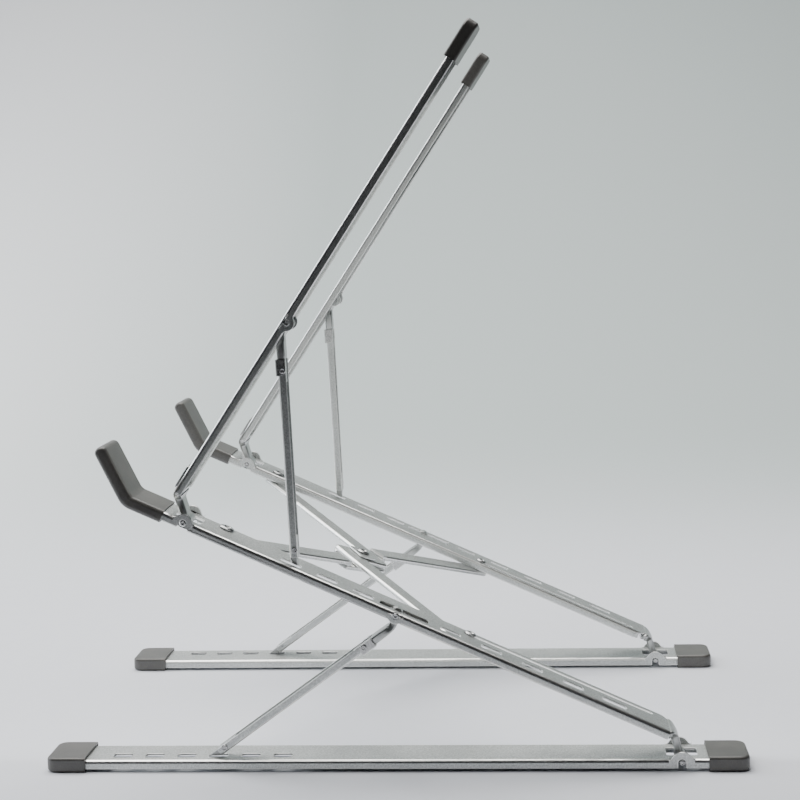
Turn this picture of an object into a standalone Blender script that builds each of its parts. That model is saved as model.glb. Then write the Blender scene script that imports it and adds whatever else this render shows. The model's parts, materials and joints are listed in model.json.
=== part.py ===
"""Folding two-tier laptop stand: two mirrored side frames joined by a flat scissor brace.

Each side frame is a stack of pressed channel rails. A base rail lies on the table, a main rail
rises from its rear hinge and is held by a lower strut, and an upper rail rises from the main
rail's front hinge and is held by an upper strut. Rubber sleeves close the ends.

Sizes are millimetres and become metres where a mesh is made. World frame: +X is the rear, +Y the
left side of a person who sits in front of the stand, +Z up, with the origin on the table under
the middle of the stand. "Inset" is the distance from a frame's outer face towards the middle.
"""
from math import acos, asin, atan2, cos, degrees, hypot, pi, radians, sin, sqrt, tan

import bmesh
import bpy
from mathutils import Matrix, Vector

MM = 0.001
GAP = 0.3
SIDES = {"right": -1, "left": 1}

# Whole stand
HALF_WIDTH = 84.0
RAIL_WIDTH = 20.0
SHEET = 0.8
ARC_STEPS = 6

# Base rail and its two feet
BASE_LENGTH = 265.0
BASE_INSET = 3.0
BASE_TOP = 4.5
BASE_BOTTOM = 1.0
FOOT_LENGTH = 15.2
FOOT_HEIGHT = 5.7
RUBBER_WALL = 1.0
BASE_SLOTS = 6
BASE_SLOT_FIRST = -104.1
BASE_SLOT_PITCH = 12.35
BASE_SLOT_LENGTH = 7.1
SLOT_INSET = 6.6
SLOT_WIDTH = 4.4

# Rear hinge between base rail and main rail
HINGE_X = 107.4
HINGE_Z = 3.1
MAIN_SLOPE = 24.4
KNUCKLE_RISE = 9.2
KNUCKLE_START = 8.5
KNUCKLE_INSET = 9.85
KNUCKLE_WIDTH = 8.5
WINDOW_WIDTH = 9.3
PIN_RADIUS = 1.0
PIN_CORE = 0.6
PIN_RELIEF = 0.75
EYE_RADIUS = 2.25

# Main rail, positions measured along it from the rear hinge
RAIL_DEPTH = 3.2
FRONT_PIN = 205.3
FRONT_PIN_LEVEL = 8.15
MID_PIN = 118.9
MID_PIN_LEVEL = 7.95
SLEEVE_START = 213.5
HOOK_ANGLE = 40.0
LONG_SLOT = (15.0, 92.6)
LONG_SLOT_WIDTH = 2.7
REAR_SLOTS = [30.9 + 16.65 * i for i in range(5)]
FRONT_SLOTS = [133.0 + 14.8 * i for i in range(3)]

# Upper rail, positions measured along it from the front hinge
UPPER_SLOPE = 56.1
UPPER_LENGTH = 209.2
UPPER_CAP_START = 196.6
UPPER_CAP_END = 212.5
STRUT_PIN = 84.2
STRUT_PIN_LEVEL = 6.8

# Struts
STRUT_INSET = 6.6
STRUT_WIDTH = 6.8
STRUT_DEPTH = (1.7, 4.7)
STRUT_SHEET = 0.6
RIVET_LEVEL = 2.8
RIVET_BORE = 0.55
STRUT_START = 13.3
STRUT_END = 3.0
LOWER_FOOT_X = -68.6
FOOT_GAP = 0.35
UPPER_FOOT_ALONG = 161.0

# Scissor brace
BRACE_INSET = 15.0
BRACE_PIVOT = 190.6
BRACE_SLIDE = 89.8
ARM_HALF_WIDTH = 4.4
ARM_OFFSET = 6.0
HUB_HALF_LENGTH = 7.0
HUB_ROOT = 4.0
ARM_STEP = (16.0, 18.5)
UPPER_ARM = (3.9, 5.7)
LOWER_ARM = (1.8, 3.6)

SILVER = ((0.60, 0.61, 0.60), 0.34, 0.92)
CAST = ((0.42, 0.43, 0.42), 0.38, 0.90)
STEEL = ((0.66, 0.67, 0.67), 0.25, 1.0)
RUBBER = ((0.062, 0.058, 0.053), 0.62, 0.0)


def clear_scene():
    for obj in list(bpy.data.objects):
        bpy.data.objects.remove(obj)


def material(name, finish):
    colour, roughness, metallic = finish
    mat = bpy.data.materials.new(name)
    mat.use_nodes = True
    shader = mat.node_tree.nodes["Principled BSDF"]
    shader.inputs["Base Color"].default_value = (*colour, 1.0)
    shader.inputs["Roughness"].default_value = roughness
    shader.inputs["Metallic"].default_value = metallic
    return mat


# ---------------------------------------------------------------- outlines

def arc(centre, radius, start, end, steps=ARC_STEPS):
    """Points on a circle from one angle to another, in degrees."""
    angles = [radians(start + (end - start) * i / steps) for i in range(steps + 1)]
    return [(centre[0] + radius * cos(a), centre[1] + radius * sin(a)) for a in angles]


def rounded_box(low, high, radius, steps=3):
    """A rectangle with its four corners rounded, anticlockwise."""
    (x0, y0), (x1, y1) = low, high
    corners = [((x1 - radius, y0 + radius), -90), ((x1 - radius, y1 - radius), 0),
               ((x0 + radius, y1 - radius), 90), ((x0 + radius, y0 + radius), 180)]
    points = []
    for centre, angle in corners:
        points += arc(centre, radius, angle, angle + 90, steps)
    return points


def bump(centre, radius, line, fillet, up=1):
    """A round ear on a straight edge, with hollow fillets at its feet, from low x to high x."""
    reach = radius + fillet
    height = (line + up * fillet - centre[1]) * up
    spread = sqrt(reach * reach - height * height)
    lean = degrees(atan2(height, spread))
    left = arc((centre[0] - spread, line + up * fillet), fillet, -90 * up, -lean * up, 3)
    top = arc(centre, radius, (180 - lean) * up, lean * up, 8)
    right = arc((centre[0] + spread, line + up * fillet), fillet, (180 + lean) * up, 270 * up, 3)
    return left + top[1:-1] + right


# ---------------------------------------------------------------- solids

def solid(name, build):
    mesh = bpy.data.meshes.new(name)
    bm = bmesh.new()
    build(bm)
    bmesh.ops.remove_doubles(bm, verts=bm.verts, dist=1e-7)
    bmesh.ops.recalc_face_normals(bm, faces=bm.faces)
    bm.to_mesh(mesh)
    bm.free()
    obj = bpy.data.objects.new(name, mesh)
    bpy.context.scene.collection.objects.link(obj)
    return obj


def prism(outline, axis, low, high):
    """An outline pushed along Y (outline in x, z) or along Z (outline in x, y)."""
    def place(point, level):
        if axis == "Y":
            return Vector((point[0], level, point[1])) * MM
        return Vector((point[0], point[1], level)) * MM

    def build(bm):
        rings = [[bm.verts.new(place(p, level)) for p in outline] for level in (low, high)]
        count = len(outline)
        bm.faces.new(rings[0])
        bm.faces.new(rings[1])
        for i in range(count):
            j = (i + 1) % count
            bm.faces.new((rings[0][i], rings[0][j], rings[1][j], rings[1][i]))
    return solid("prism", build)


def turned(profile, place, steps=16):
    """A turned piece from (radius, level) pairs, whose axis and place a function sets."""
    def build(bm):
        rings = []
        for radius, level in profile:
            angles = [2 * pi * i / steps for i in range(steps)]
            rings.append([bm.verts.new(place(radius * cos(a), radius * sin(a), level) * MM) for a in angles])
        bm.faces.new(rings[0])
        bm.faces.new(rings[-1])
        for low, high in zip(rings, rings[1:]):
            for i in range(steps):
                j = (i + 1) % steps
                bm.faces.new((low[i], low[j], high[j], high[i]))
    return solid("turned", build)


def cross_pin(x, z, profile, steps=16):
    """A turned piece along Y, its profile given as (radius, y)."""
    return turned(profile, lambda a, b, level: Vector((x + a, level, z + b)), steps)


def upright_pin(x, y, profile, steps=16):
    """A turned piece along Z, its profile given as (radius, z)."""
    return turned(profile, lambda a, b, level: Vector((x + a, y + b, level)), steps)


def loft(stations):
    """A tongue through rectangular sections: (x, z, direction, thickness, y low, y high)."""
    def build(bm):
        rings = []
        for x, z, direction, thickness, low, high in stations:
            across = Vector((-sin(radians(direction)), 0, cos(radians(direction)))) * thickness / 2
            middle = Vector((x, 0, z))
            corners = [middle + across + Vector((0, low, 0)), middle + across + Vector((0, high, 0)),
                       middle - across + Vector((0, high, 0)), middle - across + Vector((0, low, 0))]
            rings.append([bm.verts.new(corner * MM) for corner in corners])
        bm.faces.new(rings[0])
        bm.faces.new(rings[-1])
        for one, two in zip(rings, rings[1:]):
            for i in range(4):
                j = (i + 1) % 4
                bm.faces.new((one[i], one[j], two[j], two[i]))
    return solid("loft", build)


def boolean(target, others, operation):
    for other in others:
        modifier = target.modifiers.new(operation.lower(), "BOOLEAN")
        modifier.operation = operation
        modifier.solver = "EXACT"
        modifier.object = other
        graph = bpy.context.evaluated_depsgraph_get()
        result = bpy.data.meshes.new_from_object(target.evaluated_get(graph))
        target.modifiers.clear()
        target.data = result
        bpy.data.objects.remove(other)
    return target


def union(target, *others):
    return boolean(target, others, "UNION")


def cut(target, *others):
    return boolean(target, others, "DIFFERENCE")


def finish(obj, name, finish_values, matrix):
    """Name a piece, give it its own material, clean its mesh and set it in place."""
    obj.name = name
    obj.data.name = name
    bm = bmesh.new()
    bm.from_mesh(obj.data)
    bmesh.ops.dissolve_limit(bm, angle_limit=radians(0.5), verts=bm.verts, edges=bm.edges)
    bmesh.ops.triangulate(bm, faces=bm.faces)
    bm.to_mesh(obj.data)
    bm.free()
    obj.data.materials.clear()
    obj.data.materials.append(material(name + "_finish", finish_values))
    obj.data.shade_smooth()
    obj.data.set_sharp_from_angle(angle=radians(30))
    obj.matrix_world = matrix
    return obj


def frame(x, z, slope):
    """A joint's frame: its place, tilted about Y by the slope in degrees, front end up."""
    return Matrix.Translation(Vector((x, 0, z)) * MM) @ Matrix.Rotation(radians(slope), 4, "Y")


def band(side, inset_low, inset_high):
    """The y range between two insets on one side of the stand."""
    ends = (side * (HALF_WIDTH - inset_low), side * (HALF_WIDTH - inset_high))
    return min(ends), max(ends)


def slot_cutter(side, x, length, inset, width, level):
    low, high = band(side, inset - width / 2, inset + width / 2)
    radius = min(1.2, width / 2 - 0.05)
    return prism(rounded_box((x - length / 2, low), (x + length / 2, high), radius), "Z", level - 3, level + 3)


# ---------------------------------------------------------------- shared pieces

def knuckle(side):
    """Cast knuckle of a rail: a plate inside the channel, a bent neck and an eye on the hinge axis.

    Local x runs away from the rail's far end, so the channel lies on the negative side.
    """
    low, high = band(side, KNUCKLE_INSET - KNUCKLE_WIDTH / 2, KNUCKLE_INSET + KNUCKLE_WIDTH / 2)
    wide_low, wide_high = band(side, 1.3, RAIL_WIDTH - 1.3)
    middle = KNUCKLE_RISE - RAIL_DEPTH / 2
    bend = 4.0
    centre = (-(KNUCKLE_START - GAP), middle - bend)
    tangent = degrees(atan2(centre[1], -centre[0]) + asin(bend / hypot(*centre)))
    stations = [(-(KNUCKLE_START - GAP), middle, 0, RAIL_DEPTH - 0.2, wide_low, wide_high)]
    for i in range(1, 5):
        turn = radians(tangent * i / 4)
        share = max(0.0, (i - 2) / 3)
        stations.append((centre[0] + bend * sin(turn), centre[1] + bend * cos(turn), -degrees(turn),
                         RAIL_DEPTH - 0.2, wide_low + (low - wide_low) * share,
                         wide_high + (high - wide_high) * share))
    foot = 3.2
    stations.append((-foot * cos(radians(tangent)), foot * sin(radians(tangent)), -tangent,
                     RAIL_DEPTH - 0.4, low, high))
    stations.append((-0.4 * cos(radians(tangent)), 0.4 * sin(radians(tangent)), -tangent,
                     RAIL_DEPTH - 0.6, low, high))
    neck = loft(stations)
    inner_low, inner_high = band(side, SHEET + GAP, RAIL_WIDTH - SHEET - GAP)
    roof = KNUCKLE_RISE - SHEET - GAP
    plate = prism([(-16.0, roof - 1.6), (-KNUCKLE_START + 1.0, roof - 1.6),
                   (-KNUCKLE_START + 1.0, roof), (-16.0, roof)], "Y", inner_low + 0.4, inner_high - 0.4)
    eye = cross_pin(0, 0, [(EYE_RADIUS, low), (EYE_RADIUS, high)], 20)
    hole = cross_pin(0, 0, [(PIN_CORE + GAP, low - 1), (PIN_CORE + GAP, high + 1)])
    return cut(union(neck, plate, eye), hole)


def hinge_pin(side, x, z, inset_end):
    """Pin with a full round at each end, in the ears, and a slimmer core under the web."""
    low, high = band(side, 0.0, inset_end)
    chamfer = 0.2
    return cross_pin(x, z, [(PIN_RADIUS - chamfer, low), (PIN_RADIUS, low + chamfer), (PIN_RADIUS, low + SHEET),
                            (PIN_CORE, low + SHEET), (PIN_CORE, high - SHEET), (PIN_RADIUS, high - SHEET),
                            (PIN_RADIUS, high - chamfer), (PIN_RADIUS - chamfer, high)])


def pin_relief(side, x, z, inset_end):
    """Groove under the web that clears a hinge pin's core."""
    low, high = band(side, SHEET, inset_end - SHEET)
    return cross_pin(x, z, [(PIN_RELIEF, low), (PIN_RELIEF, high)])


def rubber_sleeve(outline, axis, low, high, cavity):
    return cut(prism(outline, axis, low, high), *cavity)


# ---------------------------------------------------------------- base rail

def base_rail(side):
    """Channel that lies on the table, with six strut slots, a hinge window and two hinge ears."""
    x0 = -BASE_LENGTH / 2 + BASE_INSET - HINGE_X
    x1 = BASE_LENGTH / 2 - BASE_INSET - HINGE_X
    top, bottom = BASE_TOP - HINGE_Z, BASE_BOTTOM - HINGE_Z
    low, high = band(side, 0, RAIL_WIDTH)
    flange = [(x0, bottom), (x1, bottom), (x1, top)]
    flange += list(reversed(bump((0, 0), 4.2, top, 1.4)))
    flange += [(x0, top)]
    rail = prism([(x0, low), (x1, low), (x1, high), (x0, high)], "Z", top - SHEET, top)
    for inset in (0, RAIL_WIDTH - SHEET):
        rail = union(rail, prism(flange, "Y", *band(side, inset, inset + SHEET)))
    holes = [slot_cutter(side, BASE_SLOT_FIRST + i * BASE_SLOT_PITCH - HINGE_X, BASE_SLOT_LENGTH,
                         SLOT_INSET, SLOT_WIDTH, top) for i in range(BASE_SLOTS)]
    holes.append(slot_cutter(side, 0.45, 11.5, KNUCKLE_INSET, WINDOW_WIDTH, top))
    holes.append(pin_relief(side, 0, 0, RAIL_WIDTH))
    notch = arc((0, 0), PIN_RADIUS + 0.45, 0, 180, 8)
    notch += [(-PIN_RADIUS - 0.45, bottom - 1), (PIN_RADIUS + 0.45, bottom - 1)]
    for outer, inner in ((-1, SHEET), (RAIL_WIDTH - SHEET, RAIL_WIDTH + 1)):
        holes.append(prism(notch, "Y", *band(side, outer, inner)))
    return cut(rail, *holes)


def base_foot(side, end):
    """Rubber foot pushed over one end of the base rail; end is -1 at the front, +1 at the rear."""
    tip = end * BASE_LENGTH / 2 - HINGE_X
    mouth = tip - end * FOOT_LENGTH
    low, high = band(side, -RUBBER_WALL, RAIL_WIDTH + RUBBER_WALL)
    radius = 4.0
    if end > 0:
        outline = [(mouth, low)] + arc((tip - radius, low + radius), radius, -90, 0)
        outline += arc((tip - radius, high - radius), radius, 0, 90) + [(mouth, high)]
    else:
        outline = [(mouth, high)] + arc((tip + radius, high - radius), radius, 90, 180)
        outline += arc((tip + radius, low + radius), radius, 180, 270) + [(mouth, low)]
    hollow_low, hollow_high = band(side, -GAP, RAIL_WIDTH + GAP)
    depth = tip - end * (BASE_INSET - GAP)
    hollow = [(mouth - end, BASE_BOTTOM - GAP), (depth, BASE_BOTTOM - GAP),
              (depth, BASE_TOP + GAP), (mouth - end, BASE_TOP + GAP)]
    hollow = [(x, z - HINGE_Z) for x, z in hollow]
    return rubber_sleeve(outline, "Z", -HINGE_Z, FOOT_HEIGHT - HINGE_Z,
                         [prism(hollow, "Y", hollow_low, hollow_high)])


# ---------------------------------------------------------------- main rail

def hook_point(along, off, distance):
    """A point on the hook's rising leg: its start, the offset across it and the distance up it."""
    a = radians(HOOK_ANGLE)
    return along + distance * cos(a) - off * sin(a), distance * sin(a) + off * cos(a)


def main_rail(side):
    """Sloping channel with strut slots, three windows, hinge ears and the tongue of the hook."""
    roof, floor = KNUCKLE_RISE, KNUCKLE_RISE - RAIL_DEPTH
    end = 224.0
    low, high = band(side, 0, RAIL_WIDTH)
    corner = 6.0
    inner = high if side < 0 else low
    outer = low if side < 0 else high
    inward = 1 if side < 0 else -1
    web = [(-end, outer), (-KNUCKLE_START, outer)]
    for i in range(7):
        turn = radians(90 * i / 6)
        web.append((-KNUCKLE_START - corner + corner * cos(turn), inner - inward * corner * (1 - sin(turn))))
    web.append((-end, inner))
    ear = [(-x, z) for x, z in bump((FRONT_PIN, FRONT_PIN_LEVEL), 3.5, roof, 1.5)]
    boss = bump((-MID_PIN, MID_PIN_LEVEL), 3.1, floor, 2.2, -1)
    relief = [(-206.8, floor), (-206.8, floor + 0.6), (-202.8, floor + 0.6), (-202.8, floor)]
    outer_flange = [(-end, floor)] + relief + boss + [(-KNUCKLE_START - 0.6, floor), (-KNUCKLE_START, roof)]
    outer_flange += ear + [(-end, roof)]
    inner_flange = [(-end, floor)] + relief + [(-KNUCKLE_START - corner, floor), (-KNUCKLE_START - corner, roof)]
    inner_flange += ear + [(-end, roof)]
    rail = prism(web, "Z", roof - SHEET, roof)
    rail = union(rail, prism(outer_flange, "Y", *band(side, 0, SHEET)),
                 prism(inner_flange, "Y", *band(side, RAIL_WIDTH - SHEET, RAIL_WIDTH)))
    tab = arc((-MID_PIN, MID_PIN_LEVEL), 3.1, 180, 360, 8) + [(-MID_PIN + 3.1, roof - 0.3), (-MID_PIN - 3.1, roof - 0.3)]
    rail = union(rail, prism(tab, "Y", *band(side, 9.6, 10.4)))
    bend = 227.9
    level = roof - SHEET / 2
    tongue = [hook_point(bend, off, distance) for off, distance in
              ((-SHEET / 2, 0.2), (-SHEET / 2, 16.5), (SHEET / 2, 16.5), (SHEET / 2, 0.0))]
    tongue = [(-x, z + level) for x, z in tongue]
    tongue = [(-end + 1.0, roof - SHEET)] + tongue + [(-end + 1.0, roof)]
    rail = union(rail, prism(tongue, "Y", *band(side, 3.0, 17.0)))
    holes = [slot_cutter(side, -u, 9.8 if u < 40 else 8.2, SLOT_INSET, SLOT_WIDTH, roof)
             for u in REAR_SLOTS + FRONT_SLOTS]
    holes.append(slot_cutter(side, -116.4, 19.8, SLOT_INSET, 5.2, roof))
    holes.append(slot_cutter(side, -204.5, 10.0, KNUCKLE_INSET, WINDOW_WIDTH, roof))
    holes.append(slot_cutter(side, -sum(LONG_SLOT) / 2, LONG_SLOT[1] - LONG_SLOT[0], BRACE_INSET,
                             LONG_SLOT_WIDTH, roof))
    y = side * (HALF_WIDTH - BRACE_INSET)
    holes.append(upright_pin(-BRACE_PIVOT, y, [(1.5, 4), (1.5, 14)], 12))
    bore = PIN_RADIUS + GAP
    for outer, inner in ((-1, SHEET), (RAIL_WIDTH - SHEET, RAIL_WIDTH + 1)):
        ends = band(side, outer, inner)
        holes.append(cross_pin(-FRONT_PIN, FRONT_PIN_LEVEL, [(bore, ends[0]), (bore, ends[1])]))
    for outer, inner in ((-1, SHEET), (9.6, 11)):
        ends = band(side, outer, inner)
        holes.append(cross_pin(-MID_PIN, MID_PIN_LEVEL, [(bore, ends[0]), (bore, ends[1])]))
    holes.append(pin_relief(side, -FRONT_PIN, FRONT_PIN_LEVEL, RAIL_WIDTH))
    holes.append(pin_relief(side, -MID_PIN, MID_PIN_LEVEL, 10.4))
    return cut(rail, *holes)


def hook_sleeve(side):
    """Thick rubber sleeve over the rail's front end, bent up to stop the laptop from sliding off."""
    thick, bottom = 5.0, 4.9
    top = bottom + thick
    a = radians(HOOK_ANGLE)
    inner_corner = 227.0
    outer_corner = inner_corner + thick * tan(a / 2)
    length = 21.6
    bend = 8.0
    tangent = bend * tan(a / 2)
    outline = [(SLEEVE_START, bottom)]
    outline += arc((outer_corner - tangent, bottom + bend), bend, -90, -90 + HOOK_ANGLE, 5)
    tip_outer = (inner_corner + length * cos(a) + thick * sin(a), top + length * sin(a) - thick * cos(a))
    tip_inner = (inner_corner + length * cos(a), top + length * sin(a))
    round_off = 2.0
    for corner, turn, across in ((tip_outer, -90, -1), (tip_inner, 0, 1)):
        centre = (corner[0] + round_off * (across * sin(a) - cos(a)),
                  corner[1] - round_off * (sin(a) + across * cos(a)))
        outline += arc(centre, round_off, turn + HOOK_ANGLE, turn + 90 + HOOK_ANGLE, 4)
    outline += [(inner_corner, top), (SLEEVE_START, top)]
    outline = [(-x, z) for x, z in outline]
    roof, floor = KNUCKLE_RISE, KNUCKLE_RISE - RAIL_DEPTH
    channel = [(-SLEEVE_START + 1, floor - GAP), (-224.0 - GAP, floor - GAP),
               (-224.0 - GAP, roof + GAP), (-SLEEVE_START + 1, roof + GAP)]
    clear = SHEET / 2 + GAP
    level = roof - SHEET / 2
    path = [hook_point(227.9, off, distance) for off, distance in
            ((-clear, 0.25), (-clear, 16.5 + GAP), (clear, 16.5 + GAP), (clear, -0.25))]
    tongue = [(-223.0, level - clear)] + [(-x, z + level) for x, z in path] + [(-223.0, level + clear)]
    return rubber_sleeve(outline, "Y", *band(side, -RUBBER_WALL, RAIL_WIDTH + RUBBER_WALL),
                         [prism(channel, "Y", *band(side, -GAP, RAIL_WIDTH + GAP)),
                          prism(tongue, "Y", *band(side, 3.0 - GAP, 17.0 + GAP))])


# ---------------------------------------------------------------- upper rail

def upper_rail(side):
    """Steep channel that the laptop's back leans on; local x runs up the rail."""
    roof, floor = KNUCKLE_RISE, KNUCKLE_RISE - RAIL_DEPTH
    low, high = band(side, 0, RAIL_WIDTH)
    boss = bump((STRUT_PIN, STRUT_PIN_LEVEL), 2.9, floor, 2.2, -1)
    start, end = KNUCKLE_START, UPPER_LENGTH
    outer_flange = [(start, floor)] + boss + [(end, floor), (end, roof), (start, roof)]
    inner_flange = [(start, floor), (end, floor), (end, roof), (start, roof)]
    rail = prism([(start, low), (end, low), (end, high), (start, high)], "Z", roof - SHEET, roof)
    tab = arc((STRUT_PIN, STRUT_PIN_LEVEL), 2.9, 180, 360, 8)
    tab += [(STRUT_PIN + 2.9, roof - 0.3), (STRUT_PIN - 2.9, roof - 0.3)]
    rail = union(rail, prism(outer_flange, "Y", *band(side, 0, SHEET)),
                 prism(inner_flange, "Y", *band(side, RAIL_WIDTH - SHEET, RAIL_WIDTH)),
                 prism(tab, "Y", *band(side, 9.6, 10.4)))
    bore = PIN_RADIUS + GAP
    half = band(side, -1, 11)
    return cut(rail, slot_cutter(side, STRUT_PIN + 1.0, 12.0, SLOT_INSET, 5.2, roof),
               cross_pin(STRUT_PIN, STRUT_PIN_LEVEL, [(bore, half[0]), (bore, half[1])]))


def upper_knuckle(side):
    """The same knuckle as the main rail's, turned round so that its channel lies up the rail."""
    piece = knuckle(side)
    piece.data.transform(Matrix.Scale(-1, 4, Vector((1, 0, 0))))
    piece.data.flip_normals()
    return piece


def upper_clip(side):
    """Thin spring plate that lies on the upper rail's lower end and holds the knuckle in it."""
    low, high = band(side, 2.0, RAIL_WIDTH - 2.0)
    roof = KNUCKLE_RISE + GAP
    return prism(rounded_box((9.6, low), (19.0, high), 1.0), "Z", roof, roof + 0.5)


def upper_cap(side):
    """Rubber cap over the top end of the upper rail."""
    low, high = band(side, -RUBBER_WALL, RAIL_WIDTH + RUBBER_WALL)
    radius = 4.0
    outline = [(UPPER_CAP_START, low)] + arc((UPPER_CAP_END - radius, low + radius), radius, -90, 0)
    outline += arc((UPPER_CAP_END - radius, high - radius), radius, 0, 90) + [(UPPER_CAP_START, high)]
    roof, floor = KNUCKLE_RISE, KNUCKLE_RISE - RAIL_DEPTH
    hollow = [(UPPER_CAP_START - 1, floor - GAP), (UPPER_LENGTH + GAP, floor - GAP),
              (UPPER_LENGTH + GAP, roof + GAP), (UPPER_CAP_START - 1, roof + GAP)]
    return rubber_sleeve(outline, "Z", floor - 0.8, roof + 0.9,
                         [prism(hollow, "Y", *band(side, -GAP, RAIL_WIDTH + GAP))])


# ---------------------------------------------------------------- struts

def strut_channel(side, reach, web):
    """Narrow channel of a strut; local x runs from its pin to its foot, web is +1 or -1 in z."""
    start, end = STRUT_START, reach - STRUT_END
    near, far = STRUT_DEPTH
    inset = STRUT_INSET - STRUT_WIDTH / 2
    low, high = band(side, inset, inset + STRUT_WIDTH)
    plate = prism([(start, low), (end, low), (end, high), (start, high)], "Z",
                  *sorted((web * far, web * (far - STRUT_SHEET))))
    flange = [(start, web * near), (end, web * near), (end, web * far), (start, web * far)]
    for offset in (inset, inset + STRUT_WIDTH - STRUT_SHEET):
        plate = union(plate, prism(flange, "Y", *band(side, offset, offset + STRUT_SHEET)))
    bores = []
    for along in (17.4, reach - 5.8):
        ends = band(side, inset - 1, inset + STRUT_WIDTH + 1)
        bores.append(cross_pin(along, web * RIVET_LEVEL, [(RIVET_BORE, ends[0]), (RIVET_BORE, ends[1])], 12))
    return cut(plate, *bores)


def strut_knuckle(side, web):
    """Cast end of a strut: an eye on its pin, a neck that bends onto the strut and a plug."""
    near, far = STRUT_DEPTH
    centre = (near + far) / 2
    eye_low, eye_high = band(side, STRUT_INSET - 2.2, STRUT_INSET + 2.2)
    wide_low, wide_high = band(side, STRUT_INSET - STRUT_WIDTH / 2, STRUT_INSET + STRUT_WIDTH / 2)
    thick = far - near
    stations = [(0.3, 0.2 * web, 42 * web, thick * 0.9, eye_low, eye_high),
                (2.6, 2.2 * web, 38 * web, thick * 0.95, eye_low, eye_high),
                (4.7, (centre - 0.15) * web, 14 * web, thick, eye_low, eye_high),
                (7.4, centre * web, 0, thick, wide_low, wide_high),
                (STRUT_START - GAP, centre * web, 0, thick, wide_low, wide_high)]
    neck = loft(stations)
    plug_low, plug_high = band(side, STRUT_INSET - 2.4, STRUT_INSET + 2.4)
    levels = sorted((web * (near + 0.2), web * (far - STRUT_SHEET - GAP)))
    plug = prism(rounded_box((STRUT_START - 1.5, levels[0]), (22.0, levels[1]), 0.2, 1), "Y", plug_low, plug_high)
    eye = cross_pin(0, 0, [(EYE_RADIUS, eye_low), (EYE_RADIUS, eye_high)], 20)
    bore = cross_pin(0, 0, [(PIN_CORE + GAP, eye_low - 1), (PIN_CORE + GAP, eye_high + 1)])
    rivet = cross_pin(17.4, web * RIVET_LEVEL, [(RIVET_BORE, plug_low - 1), (RIVET_BORE, plug_high + 1)], 12)
    return cut(union(neck, plug, eye), bore, rivet)


def strut_clip(side, web):
    """Saddle of thin spring sheet round a strut's upper end, with a round ear on each side."""
    near, far = STRUT_DEPTH
    sheet = 0.45
    back = sorted((web * (far + GAP), web * (far + GAP + sheet)))
    inset = STRUT_INSET - STRUT_WIDTH / 2 - GAP - sheet
    width = STRUT_WIDTH + 2 * (GAP + sheet)
    low, high = band(side, inset, inset + width)
    plate = prism([(13.4, low), (19.4, low), (19.4, high), (13.4, high)], "Z", *back)
    outer = far + GAP + sheet
    ear = [(13.4, web * near)]
    ear += [(x, web * z) for x, z in arc((17.4, near + 1.9), 1.9, -90, 0, 4)]
    ear += [(19.4, web * (far + GAP)), (19.4, web * outer), (13.4, web * outer)]
    for offset in (inset, inset + width - sheet):
        plate = union(plate, prism(ear, "Y", *band(side, offset, offset + sheet)))
    ends = band(side, inset - 1, inset + width + 1)
    return cut(plate, cross_pin(17.4, web * RIVET_LEVEL, [(RIVET_BORE, ends[0]), (RIVET_BORE, ends[1])], 12))


def strut_foot(side, reach, web, plane):
    """Cast foot of a strut: a plug in the channel and a tongue that ends flat over its slot.

    Plane is the angle, in the strut's own frame, of the rail face that the foot stands on.
    """
    near, far = STRUT_DEPTH
    centre = (near + far) / 2
    plug_low, plug_high = band(side, STRUT_INSET - 2.4, STRUT_INSET + 2.4)
    levels = sorted((web * (near + 0.2), web * (far - STRUT_SHEET - GAP)))
    plug = prism([(reach - 11.0, levels[0]), (reach - STRUT_END + GAP + 0.4, levels[0]),
                  (reach - STRUT_END + GAP + 0.4, levels[1]), (reach - 11.0, levels[1])], "Y",
                 plug_low, plug_high)
    slant = tan(radians(plane))
    top = reach - STRUT_END + GAP
    half = (far - near) / 2
    tip = 1.0
    tongue = [(top, centre - 1.0), (reach + slant * -tip * web, centre - tip),
              (reach + slant * tip * web, centre + tip), (top, centre + half)]
    low, high = band(side, STRUT_INSET - 1.8, STRUT_INSET + 1.8)
    blade = prism([(x, web * z) for x, z in tongue], "Y", low, high)
    rivet = cross_pin(reach - 5.8, web * RIVET_LEVEL,
                      [(RIVET_BORE, plug_low - 1), (RIVET_BORE, plug_high + 1)], 12)
    return cut(union(plug, blade), rivet)


def strut_rivet(side, along, web, head_inset, tail_inset):
    """Rivet across a strut: a low head on its outer side and a flush tail."""
    head, start, end = (side * (HALF_WIDTH - inset) for inset in (head_inset - 0.45, head_inset, tail_inset))
    shank = RIVET_BORE - 0.15
    return cross_pin(along, web * RIVET_LEVEL, [(0.8, head), (1.2, (head + start) / 2), (1.2, start),
                                                (shank, start), (shank, end)], 14)


def strut(side, side_name, tier, reach, web, plane, matrix):
    head_inset = STRUT_INSET - STRUT_WIDTH / 2 - GAP
    tail_inset = STRUT_INSET + STRUT_WIDTH / 2
    pieces = {"": (strut_channel(side, reach, web), SILVER),
              "_knuckle": (strut_knuckle(side, web), CAST),
              "_clip": (strut_clip(side, web), STEEL),
              "_foot": (strut_foot(side, reach, web, plane), CAST),
              "_clip_rivet": (strut_rivet(side, 17.4, web, head_inset - 0.45 - GAP, tail_inset + 0.7), STEEL),
              "_foot_rivet": (strut_rivet(side, reach - 5.8, web, head_inset, tail_inset), STEEL)}
    for suffix, (piece, values) in pieces.items():
        finish(piece, f"{side_name}_{tier}_strut{suffix}", values, matrix)


# ---------------------------------------------------------------- scissor brace

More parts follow.
